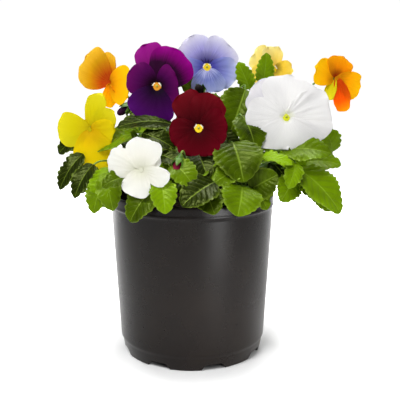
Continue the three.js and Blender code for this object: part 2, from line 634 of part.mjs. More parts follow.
// Grows every plant. What would cross a petal, another plant's stalk or an earlier
// plant's leaf is cut clear of it.
function growPlants() {
  const petals = joined([
    ...Object.values(BLOOMS).map((bloom) => bloomSolid(bloom, GAP)),
    ...Object.values(BUDS).map((bud) => budSolid(bud, GAP))]);
  const names = Object.keys(PLANTS);
  const stalksClear = names.map((name) => stalks(PLANTS[name], GAP));
  const earlier = [petals];
  return names.map((name, index) => {
    const others = stalksClear.filter((_, other) => other !== index);
    const keepOut = joined([...earlier, ...others]);
    const whole = joined([stalks(PLANTS[name], 0), foliage(PLANTS[name], 0)]);
    earlier.push(foliage(PLANTS[name], GAP));
    return [name, largestBody(whole.subtract(keepOut))];
  });
}

addRingLeaves();
const planter = new THREE.Group();
planter.add(meshOf('pot', potSolid(), 0x2e2b2c, 0.38));
planter.add(meshOf('soil', soilSolid(), 0x2b1d14, 0.95));
for (const [name, solid] of growPlants()) planter.add(meshOf(name, solid, GREEN, 0.5));
for (const [name, bloom] of Object.entries(BLOOMS)) {
  planter.add(meshOf(`bloom_${name}`, largestBody(bloomSolid(bloom, 0)), COLOURS[name], 0.6));
}
for (const [name, bud] of Object.entries(BUDS)) {
  planter.add(meshOf(name, budSolid(bud, 0), bud.colour, 0.6));
}

export default planter;
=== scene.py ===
"""A potted pansy planter: a black nursery pot with potting mix and eight pansy plants.

Sizes are in millimetres until a piece's mesh is written, which turns them to metres. The
origin is on the pot's axis, on the floor; the front looks along -Y and +X is to the right.
"""

import logging
import math
from dataclasses import dataclass, field
from enum import Enum

import bpy
import numpy as np
from mathutils import Euler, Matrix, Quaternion, Vector


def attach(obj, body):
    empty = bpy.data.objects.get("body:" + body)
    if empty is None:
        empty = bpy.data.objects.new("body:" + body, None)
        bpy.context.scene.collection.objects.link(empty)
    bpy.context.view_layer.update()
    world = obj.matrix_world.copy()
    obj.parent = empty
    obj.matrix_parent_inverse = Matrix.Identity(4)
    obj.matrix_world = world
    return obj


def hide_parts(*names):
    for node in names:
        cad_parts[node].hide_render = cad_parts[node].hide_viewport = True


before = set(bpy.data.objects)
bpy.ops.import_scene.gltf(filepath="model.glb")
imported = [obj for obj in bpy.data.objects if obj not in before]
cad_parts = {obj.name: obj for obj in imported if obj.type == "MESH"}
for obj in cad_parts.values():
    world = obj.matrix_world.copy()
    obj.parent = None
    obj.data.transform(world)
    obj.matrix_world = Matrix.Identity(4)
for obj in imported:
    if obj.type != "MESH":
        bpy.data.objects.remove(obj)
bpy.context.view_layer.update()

LOG = logging.getLogger("planter")
MM = 0.001
BODY = "root"
SEED = 71
LCG_FACTOR = 1664525
LCG_STEP = 1013904223
LCG_RANGE = 2**32

Point = tuple[float, float, float]
Stop = tuple[float, int]
Link = tuple[bpy.types.Node, str | int]


class Draw:
    """A seeded source of random numbers."""

    def __init__(self, seed: int) -> None:
        """Starts the source.

        Args:
            seed: Where the run of numbers starts.
        """
        self.state = seed

    def unit(self) -> float:
        """Returns the next number, from 0 to 1."""
        self.state = (self.state * LCG_FACTOR + LCG_STEP) % LCG_RANGE
        return self.state / LCG_RANGE

    def vary(self, amount: float) -> float:
        """Returns the next number, from -amount to amount."""
        return amount * (2 * self.unit() - 1)


# ---------------------------------------------------------------- materials


def linear(colour: int) -> tuple[float, float, float, float]:
    """Turns an sRGB hex colour to linear light.

    Args:
        colour: The colour as 0xRRGGBB.

    Returns:
        Red, green, blue and an alpha of 1.
    """
    shares = [((colour >> shift) & 0xFF) / 255 for shift in (16, 8, 0)]
    toe, slope, offset, power = 0.04045, 12.92, 0.055, 2.4
    light = [c / slope if c <= toe else ((c + offset) / (1 + offset)) ** power for c in shares]
    return (*light, 1.0)


def add_node(
    tree: bpy.types.NodeTree,
    kind: str,
    values: dict[str | int, object] | None = None,
    links: dict[str | int, Link] | None = None,
    stops: tuple[Stop, ...] = (),
    **settings: object,
) -> bpy.types.Node:
    """Adds a shader node.

    Args:
        tree: The material's node tree.
        kind: The node's type without its ShaderNode prefix.
        values: Constants for its inputs.
        links: What feeds its inputs, each a node and the name of its output.
        stops: Positions and colours, for a colour ramp.
        settings: The node's own properties.

    Returns:
        The new node.
    """
    node = tree.nodes.new("ShaderNode" + kind)
    for name, value in settings.items():
        setattr(node, name, value)
    for key, value in (values or {}).items():
        node.inputs[key].default_value = value
    for key, (source, output) in (links or {}).items():
        tree.links.new(source.outputs[output], node.inputs[key])
    for index, (position, colour) in enumerate(stops):
        elements = node.color_ramp.elements
        element = elements[index] if index < 2 else elements.new(position)
        element.position = position
        element.color = linear(colour)
    return node


def new_material(name: str) -> tuple[bpy.types.Material, bpy.types.NodeTree]:
    """Makes an empty material.

    Args:
        name: The finish it stands for.

    Returns:
        The material and its node tree, without nodes.
    """
    material = bpy.data.materials.new(name)
    material.use_nodes = True
    material.node_tree.nodes.clear()
    return material, material.node_tree


def finish_surface(tree: bpy.types.NodeTree, shader: bpy.types.Node) -> None:
    """Links a shader to the material's output."""
    add_node(tree, "OutputMaterial", links={"Surface": (shader, 0)})


@dataclass(frozen=True)
class PlasticFinish:
    """Blown black polyethylene: satin, so long soft highlights run down the wall."""

    name: str = "Satin black blown polyethylene"
    body: int = 0x120D0B
    scuffed: int = 0x19130F
    clean_roughness: float = 0.21
    scuffed_roughness: float = 0.34
    ior: float = 1.5
    specular: float = 0.22
    scuff_mm: float = 45.0
    grain_mm: float = 0.5  # the mould's grain, drawn as coarse as the render can show
    grain_depth_mm: float = 0.05
    grain_share: float = 0.06

    def material(self) -> bpy.types.Material:
        """Makes the plastic, a little uneven in tone and gloss.

        Returns:
            The material.
        """
        material, tree = new_material(self.name)
        place = add_node(tree, "TexCoord")
        scuffs = add_node(
            tree, "TexNoise", {"Scale": 1 / (self.scuff_mm * MM), "Detail": 5.0, "Roughness": 0.6},
            {"Vector": (place, "Object")})
        colour = add_node(
            tree, "ValToRGB", links={"Fac": (scuffs, "Fac")},
            stops=((0.35, self.body), (0.75, self.scuffed)))
        gloss = add_node(
            tree, "MapRange",
            {"To Min": self.clean_roughness, "To Max": self.scuffed_roughness},
            {"Value": (scuffs, "Fac")})
        grain = add_node(
            tree, "TexNoise", {"Scale": 1 / (self.grain_mm * MM), "Detail": 2.0},
            {"Vector": (place, "Object")})
        bump = add_node(
            tree, "Bump",
            {"Strength": self.grain_share, "Distance": self.grain_depth_mm * MM},
            {"Height": (grain, "Fac")})
        shader = add_node(
            tree, "BsdfPrincipled", {"IOR": self.ior, "Specular IOR Level": self.specular},
            {"Base Color": (colour, "Color"), "Roughness": (gloss, "Result"),
             "Normal": (bump, "Normal")})
        finish_surface(tree, shader)
        return material


@dataclass(frozen=True)
class MixFinish:
    """Moist peat and composted bark: dull and dark, its crumbs painted lighter where they stand
    high and darker in the hollows, as painted highlight and shade.
    """

    name: str = "Moist peat potting mix"
    dark: int = 0x1A110B
    body: int = 0x33231A
    light: int = 0x5A4030
    crumb_mm: float = 3.0
    fibre_mm: float = 0.8
    roughness: float = 0.93
    specular: float = 0.25
    relief: float = 0.8
    relief_mm: float = 1.0

    def material(self) -> bpy.types.Material:
        """Makes the mix, with crumbs of three browns.

        Returns:
            The material.
        """
        material, tree = new_material(self.name)
        place = add_node(tree, "TexCoord")
        crumbs = add_node(
            tree, "TexVoronoi", {"Scale": 1 / (self.crumb_mm * MM)}, {"Vector": (place, "Object")})
        fibres = add_node(
            tree, "TexNoise", {"Scale": 1 / (self.fibre_mm * MM), "Detail": 6.0},
            {"Vector": (place, "Object")})
        height = add_node(
            tree, "Math", links={0: (crumbs, "Distance"), 1: (fibres, "Fac")}, operation="MULTIPLY")
        # painted shade and highlight: the colour follows the relief, dark in the hollows and light
        # on the raised crumbs
        colour = add_node(
            tree, "ValToRGB", links={"Fac": (height, "Value")},
            stops=((0.02, self.dark), (0.5, self.light), (0.2, self.body)))
        bump = add_node(
            tree, "Bump", {"Strength": self.relief, "Distance": self.relief_mm * MM},
            {"Height": (height, "Value")})
        shader = add_node(
            tree, "BsdfPrincipled",
            {"Roughness": self.roughness, "Specular IOR Level": self.specular},
            {"Base Color": (colour, "Color"), "Normal": (bump, "Normal")})
        finish_surface(tree, shader)
        return material


@dataclass(frozen=True)
class LeafFinish:
    """One side of a living pansy leaf: a waxy, satin green with sunken, paler veins."""

    name: str
    deep: int
    body: int
    vein: int
    roughness: float
    vein_share: float  # how far the veins turn to their own colour
    painted_valley_shade: float = 0.8  # painted shade: how much of the blade's colour the valleys of the quilting keep
    valley_end: float = 0.4  # how far a valley reaches, as a share of the way between veins
    rise: float = 1.03  # painted highlight: how much lighter the blade is painted between its valleys
    shine: int = 0xC8DC78  # the cuticle's highlights are a little green
    specular: float = 0.36
    glow: float = 0.12  # share of the light that passes through the blade
    patch_mm: float = 16.0
    patch_share: float = 0.5
    cell_mm: float = 2.2
    midrib: tuple[float, float] = (0.015, 0.06)  # where it fades, as shares of the half width
    side_vein: float = 0.1  # its width, as a share of the way between veins
    side_share: float = 0.7  # how strong a side vein is beside the midrib
    rim_light_at: float = 0.84  # painted highlight: where the margin starts to be painted paler, as if lit from behind, as a share of the half width
    rim_light_share: float = 0.8
    relief: float = 0.45
    relief_mm: float = 0.35

    def material(self) -> bpy.types.Material:
        """Makes the leaf side. Its surface values are across, vein phase and tone.

        Returns:
            The material.
        """
        material, tree = new_material(self.name)
        place = add_node(tree, "TexCoord")
        surface = add_node(tree, "Attribute", attribute_name="surface")
        parts = add_node(tree, "SeparateXYZ", links={"Vector": (surface, "Vector")})
        patches = add_node(
            tree, "TexNoise", {"Scale": 1 / (self.patch_mm * MM), "Detail": 4.0},
            {"Vector": (place, "Object")})
        tone = add_node(
            tree, "Math", {1: self.patch_share}, {0: (patches, "Fac"), 2: (parts, "Z")},
            operation="MULTIPLY_ADD")
        blade = add_node(
            tree, "ValToRGB", links={"Fac": (tone, "Value")},
            stops=((0.2, self.deep), (1.1, self.body)))
        # painted shade and highlight: the blade's colour is darker in the valleys of its quilting
        # and a little lighter between them
        wave = add_node(tree, "Math", {1: 1.0}, {0: (parts, "Y")}, operation="PINGPONG")
        painted_valley_shade = add_node(
            tree, "MapRange",
            {"From Max": self.valley_end, "To Min": self.painted_valley_shade, "To Max": self.rise},
            {"Value": (wave, "Value")}, interpolation_type="SMOOTHSTEP")
        valley_shaded = add_node(
            tree, "Mix", {"Factor": 1.0}, {"A": (blade, "Color"), "B": (painted_valley_shade, "Result")},
            data_type="RGBA", blend_type="MULTIPLY")
        # the midrib, about 1 mm wide, and the side veins that leave it towards the tip
        middle = add_node(tree, "Math", links={0: (parts, "X")}, operation="ABSOLUTE")
        rib = add_node(
            tree, "MapRange",
            {"From Min": self.midrib[0], "From Max": self.midrib[1], "To Min": 1.0, "To Max": 0.0},
            {"Value": (middle, "Value")})
        side = add_node(
            tree, "MapRange",
            {"From Max": self.side_vein, "To Min": self.side_share, "To Max": 0.0},
            {"Value": (wave, "Value")})
        veins = add_node(
            tree, "Math", links={0: (rib, "Result"), 1: (side, "Result")}, operation="MAXIMUM")
        # painted highlight: the blade's margin is painted paler, as if lit from behind
        painted_rim_light = add_node(
            tree, "MapRange", {"From Min": self.rim_light_at, "To Max": self.rim_light_share},
            {"Value": (middle, "Value")})
        pale = add_node(
            tree, "Math", links={0: (veins, "Value"), 1: (painted_rim_light, "Result")}, operation="MAXIMUM")
        share = add_node(
            tree, "Math", {1: self.vein_share}, {0: (pale, "Value")}, operation="MULTIPLY")
        colour = add_node(
            tree, "Mix", {"B": linear(self.vein)},
            {"Factor": (share, "Value"), "A": (valley_shaded, "Result")}, data_type="RGBA")
        cells = add_node(
            tree, "TexVoronoi", {"Scale": 1 / (self.cell_mm * MM)}, {"Vector": (place, "Object")})
        relief = add_node(
            tree, "Math", {1: 0.5}, {0: (veins, "Value"), 2: (cells, "Distance")},
            operation="MULTIPLY_ADD")
        bump = add_node(
            tree, "Bump", {"Strength": self.relief, "Distance": self.relief_mm * MM},
            {"Height": (relief, "Value")}, invert=True)
        front = add_node(
            tree, "BsdfPrincipled",
            {"Roughness": self.roughness, "Specular IOR Level": self.specular,
             "Specular Tint": linear(self.shine)},
            {"Base Color": (colour, "Result"), "Normal": (bump, "Normal")})
        back = add_node(
            tree, "BsdfTranslucent",
            links={"Color": (colour, "Result"), "Normal": (bump, "Normal")})
        shader = add_node(tree, "MixShader", {0: self.glow}, {1: (front, 0), 2: (back, 0)})
        finish_surface(tree, shader)
        return material


@dataclass(frozen=True)
class StemFinish:
    """Juicy green stalks and petioles: soft highlights on an uneven green."""

    name: str
    pale: int
    deep: int
    roughness: float = 0.45
    specular: float = 0.4
    streak_mm: float = 6.0
    scatter: float = 0.1  # juicy flesh scatters a little light under its skin
    scatter_mm: float = 1.5

    def material(self) -> bpy.types.Material:
        """Makes the stem's green, uneven along its length.

        Returns:
            The material.
        """
        material, tree = new_material(self.name)
        place = add_node(tree, "TexCoord")
        streaks = add_node(
            tree, "TexNoise", {"Scale": 1 / (self.streak_mm * MM), "Detail": 3.0},
            {"Vector": (place, "Object")})
        colour = add_node(
            tree, "ValToRGB", links={"Fac": (streaks, "Fac")},
            stops=((0.35, self.deep), (0.65, self.pale)))
        shader = add_node(
            tree, "BsdfPrincipled",
            {"Roughness": self.roughness, "Specular IOR Level": self.specular,
             "Subsurface Weight": self.scatter, "Subsurface Scale": self.scatter_mm * MM},
            {"Base Color": (colour, "Color")})
        finish_surface(tree, shader)
        return material


@dataclass(frozen=True)
class PetalFinish:
    """A velvety petal: almost no highlight, and a colour that runs from its heart to its edge."""

    name: str
    edge: int
    body: int
    heart: int
    vein: int
    heart_at: float = 0.2  # how far out the heart's colour reaches, as a share of the petal
    body_at: float = 0.5
    vein_share: float = 0.25
    vein_end: float = 0.8  # where the veins fade out
    sheen: float = 0.08
    sheen_roughness: float = 0.4
    glow: float = 0.25  # share of the light that passes through the petal
    roughness: float = 0.62
    gloss: float = 0.12
    streaks: Point = (1.6, 22.0, 0.0)  # how many to the petal's length and to a radian
    jag: float = 0.22  # how far the streaks pull the borders between the colours
    relief: float = 0.5
    relief_mm: float = 0.35

    def material(self) -> bpy.types.Material:
        """Makes the petal. Its surface values are reach from the eye, fan angle and rim.

        Returns:
            The material.
        """
        material, tree = new_material(self.name)
        surface = add_node(tree, "Attribute", attribute_name="surface")
        parts = add_node(tree, "SeparateXYZ", links={"Vector": (surface, "Vector")})
        # streaks that fan out from the eye, about 1 mm apart at the edge
        fan = add_node(
            tree, "Mapping", {"Scale": self.streaks}, {"Vector": (surface, "Vector")})
        streaks = add_node(
            tree, "TexNoise", {"Scale": 1.0, "Detail": 4.0, "Roughness": 0.65},
            {"Vector": (fan, "Vector")})
        shifted = add_node(
            tree, "Math", {1: self.jag}, {0: (streaks, "Fac"), 2: (parts, "X")},
            operation="MULTIPLY_ADD")
        reach = add_node(
            tree, "Math", {1: self.jag / 2}, {0: (shifted, "Value")}, operation="SUBTRACT")
        ground = add_node(
            tree, "ValToRGB", links={"Fac": (reach, "Value")},
            stops=((self.heart_at * 0.5, self.heart), (0.98, self.edge), (self.body_at, self.body)))
        lines = add_node(
            tree, "MapRange", {"From Min": 0.42, "From Max": 0.62}, {"Value": (streaks, "Fac")},
            interpolation_type="SMOOTHSTEP")
        fade = add_node(
            tree, "MapRange",
            {"From Min": 0.1, "From Max": self.vein_end, "To Min": self.vein_share, "To Max": 0.0},
            {"Value": (parts, "X")})
        share = add_node(
            tree, "Math", links={0: (lines, "Result"), 1: (fade, "Result")}, operation="MULTIPLY")
        colour = add_node(
            tree, "Mix", {"B": linear(self.vein)},
            {"Factor": (share, "Value"), "A": (ground, "Color")}, data_type="RGBA")
        bump = add_node(
            tree, "Bump", {"Strength": self.relief, "Distance": self.relief_mm * MM},
            {"Height": (streaks, "Fac")})
        front = add_node(
            tree, "BsdfPrincipled",
            {"Roughness": self.roughness, "Specular IOR Level": self.gloss,
             "Sheen Weight": self.sheen, "Sheen Roughness": self.sheen_roughness,
             "Sheen Tint": linear(self.edge)},
            {"Base Color": (colour, "Result"), "Normal": (bump, "Normal")})
        back = add_node(
            tree, "BsdfTranslucent",
            links={"Color": (colour, "Result"), "Normal": (bump, "Normal")})
        shader = add_node(tree, "MixShader", {0: self.glow}, {1: (front, 0), 2: (back, 0)})
        finish_surface(tree, shader)
        return material


@dataclass(frozen=True)
class PlainFinish:
    """A small part of a bloom, such as its eye, hairs or stigma: one colour, faintly mottled."""

    name: str
    colour: int
    roughness: float = 0.6
    specular: float = 0.3
    mottle_mm: float = 1.5

    def material(self) -> bpy.types.Material:
        """Makes the part's colour.

        Returns:
            The material.
        """
        material, tree = new_material(self.name)
        place = add_node(tree, "TexCoord")
        mottle = add_node(
            tree, "TexNoise", {"Scale": 1 / (self.mottle_mm * MM)}, {"Vector": (place, "Object")})
        shade = add_node(
            tree, "MapRange", {"To Min": 0.85, "To Max": 1.1}, {"Value": (mottle, "Fac")})
        colour = add_node(
            tree, "Mix", {"Factor": 1.0, "A": linear(self.colour)}, {"B": (shade, "Result")},
            data_type="RGBA", blend_type="MULTIPLY")
        shader = add_node(
            tree, "BsdfPrincipled",
            {"Roughness": self.roughness, "Specular IOR Level": self.specular},
            {"Base Color": (colour, "Result")})
        finish_surface(tree, shader)
        return material


Finish = PlasticFinish | MixFinish | LeafFinish | StemFinish | PetalFinish | PlainFinish


@dataclass
class Paints:
    """The materials made so far, so that a finish is made once."""

    made: dict[str, bpy.types.Material] = field(default_factory=dict)

    def of(self, finish: Finish) -> bpy.types.Material:
        """Gives the material of a finish, which is made at its first use.

        Args:
            finish: The finish.

        Returns:
            Its material.
        """
        if finish.name not in self.made:
            self.made[finish.name] = finish.material()
        return self.made[finish.name]


PLASTIC = PlasticFinish()
POTTING_MIX = MixFinish()
LEAF_TOP = LeafFinish(
    "Pansy leaf, upper side", 0x1C2603, 0x88B008, 0xA8C644, roughness=0.28, vein_share=0.34)
LEAF_UNDER = LeafFinish(
    "Pansy leaf, underside", 0x24380C, 0x56741E, 0x849C50, roughness=0.6, vein_share=0.3,
    painted_valley_shade=0.85)
STEM = StemFinish("Pansy stem", 0x86A843, 0x4C6E1C)
SEPAL = StemFinish("Pansy sepal", 0x5F8A2C, 0x2F5212)
EYE = PlainFinish("Pansy eye, pollen yellow", 0xF8D410)
EYE_ORANGE = PlainFinish("Pansy eye, orange", 0xE59A1C)
EYE_GREEN = PlainFinish("Pansy eye, lime yellow", 0xD9DE1E)
BEARD = PlainFinish("Pansy beard, white hairs", 0xFBF6E6, 0.8)
WHISKER = PlainFinish("Pansy whisker, dark violet", 0x1B1030, 0.8)
STIGMA = PlainFinish("Pansy stigma, pale green", 0xB9BE4A, 0.4)

# ---------------------------------------------------------------- growth


def unit(vector: Vector) -> Vector:
    """Returns the vector at a length of 1."""
    return vector.normalized()


def bezier(start: Vector, lead: Vector, follow: Vector, end: Vector, t: float) -> Vector:
    """Returns the point at t of a cubic curve."""
    s = 1 - t
    return s**3 * start + 3 * s**2 * t * lead + 3 * s * t**2 * follow + t**3 * end


def spread(weights: np.ndarray, direction: Vector) -> np.ndarray:
    """Returns a grid of points, each its weight times a direction."""
    return weights[..., None] * np.array(direction)


@dataclass
class Growth:
    """Points, faces and surface values of one grown piece, gathered before it is meshed."""

    SMOOTH = math.radians(70)  # edges that turn by less are shaded smooth

    finishes: list[Finish]
    points: list[np.ndarray] = field(default_factory=list)
    values: list[np.ndarray] = field(default_factory=list)
    faces: list[tuple[int, ...]] = field(default_factory=list)
    slots: list[int] = field(default_factory=list)
    count: int = 0

    def _add(self, points: np.ndarray, values: np.ndarray) -> int:
        """Adds points.

        Args:
            points: The points.
            values: Their surface values.

        Returns:
            The first point's index.
        """
        first = self.count
        self.points.append(points.reshape(-1, 3))
        self.values.append(values.reshape(-1, 3))
        self.count += points.reshape(-1, 3).shape[0]
        return first

    def _face(self, slot: int, *corners: int) -> None:
        """Adds one face in a finish's slot."""
        self.faces.append(corners)
        self.slots.append(slot)

    def sheet(
        self, middles: np.ndarray, up: Vector, thick: float, slots: tuple[int, int],
        values: np.ndarray,
    ) -> None:
        """Adds a thin closed sheet on a grid of points.

        Args:
            middles: The grid, rows along the sheet and columns across it.
            up: Roughly the way that its upper side faces.
            thick: Its thickness.
            slots: The finishes of its upper side and underside.
            values: The surface values at the grid's points.
        """
        along = np.gradient(middles, axis=0)
        across = np.gradient(middles, axis=1)
        normals = np.cross(along, across)
        normals /= np.maximum(np.linalg.norm(normals, axis=2, keepdims=True), 1e-9)
        turned = float((normals @ np.array(up)).sum()) < 0
        if turned:
            normals = -normals
        rows, columns = middles.shape[:2]
        top = self._add(middles + normals * thick / 2, values)
        under = self._add(middles - normals * thick / 2, values)

        def quad(slot: int, *corners: int) -> None:
            """Adds a face, turned outward."""
            self._face(slot, *(reversed(corners) if turned else corners))

        for i in range(rows - 1):
            for j in range(columns - 1):
                a, b = i * columns + j, (i + 1) * columns + j
                quad(slots[0], top + a, top + b, top + b + 1, top + a + 1)
                quad(slots[1], under + a + 1, under + b + 1, under + b, under + a)
        rim = list(range(columns))
        rim += [i * columns + columns - 1 for i in range(1, rows)]
        rim += [(rows - 1) * columns + j for j in range(columns - 2, -1, -1)]
        rim += [i * columns for i in range(rows - 2, 0, -1)]
        for k, a in enumerate(rim):
            b = rim[(k + 1) % len(rim)]
            quad(slots[0], top + a, top + b, under + b, under + a)

    def tube(
        self, centres: list[Vector], radii: list[float], slot: int, sides: int = 8
    ) -> None:
        """Adds a closed round rod.

        Args:
            centres: The points that it runs through.
            radii: Its radius at each of them.
            slot: The slot of its finish.
            sides: How many sides it has.
        """
        direction = unit(centres[1] - centres[0])
        side = unit(direction.orthogonal())
        rings = []
        for k, centre in enumerate(centres):
            ahead = centres[min(k + 1, len(centres) - 1)] - centres[max(k - 1, 0)]
            turn = direction.rotation_difference(unit(ahead))
            side.rotate(turn)
            direction = unit(ahead)
            other = direction.cross(side)
            angles = [2 * math.pi * i / sides for i in range(sides)]
            ring = [centre + radii[k] * (math.cos(a) * side + math.sin(a) * other) for a in angles]
            points = np.array([tuple(p) for p in ring])
            rings.append(self._add(points, np.zeros_like(points)))
        for lower, upper in zip(rings, rings[1:]):
            for i in range(sides):
                j = (i + 1) % sides
                self._face(slot, lower + i, lower + j, upper + j, upper + i)
        self._face(slot, *(rings[0] + i for i in reversed(range(sides))))
        self._face(slot, *(rings[-1] + i for i in range(sides)))

    def piece(self, name: str, paints: Paints) -> bpy.types.Object:
        """Writes the mesh in metres.

        Args:
            name: What the piece is.
            paints: Where its materials are kept.

        Returns:
            The piece.
        """
        mesh = bpy.data.meshes.new(name)
        mesh.from_pydata((np.concatenate(self.points) * MM).tolist(), [], self.faces)
        for finish in self.finishes:
            mesh.materials.append(paints.of(finish))
        mesh.polygons.foreach_set("material_index", self.slots)
        surface = mesh.attributes.new("surface", "FLOAT_VECTOR", "POINT")
        surface.data.foreach_set("vector", np.concatenate(self.values).ravel())
        mesh.validate()
        made = bpy.data.objects.new(name, mesh)
        bpy.context.scene.collection.objects.link(made)
        choose(made)
        bpy.ops.object.shade_smooth_by_angle(angle=self.SMOOTH)
        return made


def choose_none() -> None:
    """Deselects everything."""
    bpy.ops.object.select_all(action="DESELECT")


def choose(*chosen: bpy.types.Object) -> None:
    """Selects these objects alone and makes the first one active.

    Args:
        chosen: The objects.
    """
    choose_none()
    for one in chosen:
        one.select_set(True)
    bpy.context.view_layer.objects.active = chosen[0]


def stand_for(piece: bpy.types.Object, node: str) -> None:
    """Puts a piece on the body in place of a node and reports it.

    Args:
        piece: The finished piece.
        node: The node that it stands for.
    """
    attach(piece, BODY)
    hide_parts(node)
    faces = sum(len(polygon.vertices) - 2 for polygon in piece.data.polygons)
    LOG.info("%s stands for %s: %d triangles", piece.name, node, faces)


# ---------------------------------------------------------------- pot and mix


@dataclass
class Pot:
    """The blown nursery pot, turned in rings, with its drain channels and holes cut."""

    sides: int = 144
    height: float = 165.0
    rim_radius: float = 83.0
    rim_band: float = 12.5
    rim_step: float = 0.9
    wall: float = 1.8
    shoulder_radius: float = 74.6
    shoulder_height: float = 17.0
    foot_radius: float = 71.0
    foot_height: float = 12.3
    floor: float = 2.5
    ledge: float = 8.0
    ledge_radius: float = 57.0
    ledge_slope: float = 3.0
    drains: int = 8
    drain_first: float = 17.0  # degrees round from the front
    drain_width: float = 25.0  # at the foot
    drain_slope: float = 4.0  # how far each side leans in towards the channel's roof
    drain_soft: float = 2.2  # how far the channel's own corners are rounded
    drain_height: float = 6.0
    drain_radius: float = 60.0
    hole_radius: float = 3.5
    hole_at: float = 65.5
    soft_edge: float = 0.5  # how far the cut edges are rounded
    soft_angle: float = 50.0  # edges that turn by more degrees than this are rounded
    shade_angle: float = 35.0  # edges that turn by less are shaded smooth
    foot_round: float = 1.5
    shoulder_step: float = 1.6  # how far the wall stands out over the foot
    shoulder_round: float = 1.2
    groove: float = 0.4  # the corners under the foot and in the groove below the rim band
    fine: float = 0.3  # the finest step of a rounding, and how far the rim's bead stands out
    bead_width: float = 2.8
    lip_round: float = 1.0
    hold: float = 2.0  # rings this far from a rounded edge keep the shading flat up to it

    def rings(self) -> list[tuple[float, float]]:
        """Works out the profile, from the foot up the outside and down the inside.

        Returns:
            The rings' radii and heights.
        """
        foot, shoulder, rim = self.foot_radius, self.shoulder_radius, self.rim_radius
        turn, top = self.shoulder_height, self.height
        band = top - self.rim_band
        wall = rim - self.rim_step
        lip = rim - self.wall - self.rim_step
        taper = (wall - shoulder) / (band - turn) * self.hold
        return [
            (foot - self.foot_round, 0.0),
            (foot - self.groove, self.groove),
            (foot, self.foot_round),
            (shoulder - self.shoulder_step, self.foot_height),
            (shoulder - self.shoulder_step + self.fine, self.foot_height + self.shoulder_round),
            (shoulder - self.groove / 2, turn - self.shoulder_round),
            (shoulder, turn),
            (shoulder + taper, turn + self.hold),
            (wall - taper, band - self.groove - self.hold),
            (wall, band - self.groove),
            (wall + self.fine, band),
            (rim, band + 2 * self.fine),
            (rim + self.fine, band + 5 * self.fine),
            (rim, band + self.bead_width),
            (rim, band + self.bead_width + self.hold),
            (rim, top - self.lip_round - self.hold),
            (rim, top - self.lip_round),
            (rim - self.fine, top - self.fine),
            (rim - self.lip_round, top),
            (lip + 2 * self.fine, top),
            (lip, top - 2 * self.fine),
            (lip, band),
            (shoulder - self.wall, turn),
            (foot - self.wall, self.ledge),
            (self.ledge_radius, self.ledge),
            (self.ledge_radius - self.ledge_slope, self.floor),
        ]

    def build(self, paints: Paints) -> bpy.types.Object:
        """Models, cuts and dresses the pot.

        Args:
            paints: Where its material is kept.

        Returns:
            The finished pot.
        """
        pot = turned_body("nursery_pot", self.rings(), self.sides)
        cutters = []
        depth = self.rim_radius - self.drain_radius
        for k in range(self.drains):
            turn = math.radians(self.drain_first + 360 * k / self.drains)
            out = Vector((math.sin(turn), -math.cos(turn), 0))
            cutters.append(self.channel(turn, out * (self.drain_radius + depth / 2), depth))
            bpy.ops.mesh.primitive_cylinder_add(
                vertices=20, radius=self.hole_radius * MM, depth=4 * self.ledge * MM,
                location=out * self.hole_at * MM)
            cutters.append(bpy.context.object)
        for cutter in cutters:
            cut(pot, cutter)
        soften(pot, self.soft_edge, math.radians(self.soft_angle))
        pot.data.materials.clear()
        pot.data.materials.append(paints.of(PLASTIC))
        choose(pot)
        bpy.ops.object.shade_smooth_by_angle(angle=math.radians(self.shade_angle))
        stand_for(pot, "pot")
        return pot

    def channel(self, turn: float, middle: Vector, depth: float) -> bpy.types.Object:
        """Models the cutter of one drain channel, whose sides lean in towards its roof.

        Args:
            turn: Its direction round the pot.
            middle: The middle of its length, on the floor.
            depth: Its length.

        Returns:
            The cutter.
        """
        choose_none()
        foot = self.drain_width / 2 + self.drain_slope
        bpy.ops.mesh.primitive_cube_add(
            size=1, scale=Vector((2 * foot, depth, 2 * self.drain_height)) * MM)
        channel = bpy.context.object
        bpy.ops.object.transform_apply(location=True, rotation=True, scale=True)
        bpy.ops.object.mode_set(mode="EDIT")
        bpy.ops.mesh.select_mode(type="FACE")
        bpy.ops.mesh.select_all(action="DESELECT")
        bpy.ops.object.mode_set(mode="OBJECT")
        for face in channel.data.polygons:
            face.select = face.normal.z > 0.5
        bpy.ops.object.mode_set(mode="EDIT")
        roof = 1 - 2 * self.drain_slope / foot
        bpy.ops.transform.resize(value=(roof, 1, 1), center_override=(0, 0, 0))
        bpy.ops.object.mode_set(mode="OBJECT")
        channel.rotation_euler.z = turn
        channel.location = middle * MM
        soften(channel, self.drain_soft)
        return channel


def turned_body(name: str, rings: list[tuple[float, float]], sides: int) -> bpy.types.Object:
    """Turns a closed body: a disc whose edge is extruded from ring to ring and closed.

    Args:
        name: What the piece is.
        rings: Radii and heights, starting under the body and ending inside or on top of it.
        sides: How many sides it has round its axis.

    Returns:
        The body, its faces outward.
    """
    choose_none()
    radius, height = rings[0]
    bpy.ops.mesh.primitive_circle_add(
        vertices=sides, radius=radius * MM, fill_type="TRIFAN", location=(0, 0, height * MM))
    body = bpy.context.object
    body.name = body.data.name = name
    bpy.ops.object.transform_apply(location=True, rotation=True, scale=True)
    bpy.ops.object.mode_set(mode="EDIT")
    bpy.ops.mesh.select_mode(type="EDGE")
    bpy.ops.mesh.select_all(action="SELECT")
    bpy.ops.mesh.region_to_loop()
    for wider, higher in rings[1:]:
        bpy.ops.mesh.extrude_edges_move(
            TRANSFORM_OT_translate={"value": (0, 0, (higher - height) * MM)})
        share = wider / radius
        bpy.ops.transform.resize(
            value=(share, share, 1), center_override=(0, 0, higher * MM))
        radius, height = wider, higher
    bpy.ops.mesh.edge_face_add()
    bpy.ops.mesh.poke()
    bpy.ops.mesh.select_all(action="SELECT")
    bpy.ops.mesh.remove_doubles(threshold=1e-6)
    bpy.ops.mesh.normals_make_consistent(inside=False)
    bpy.ops.object.mode_set(mode="OBJECT")
    return body


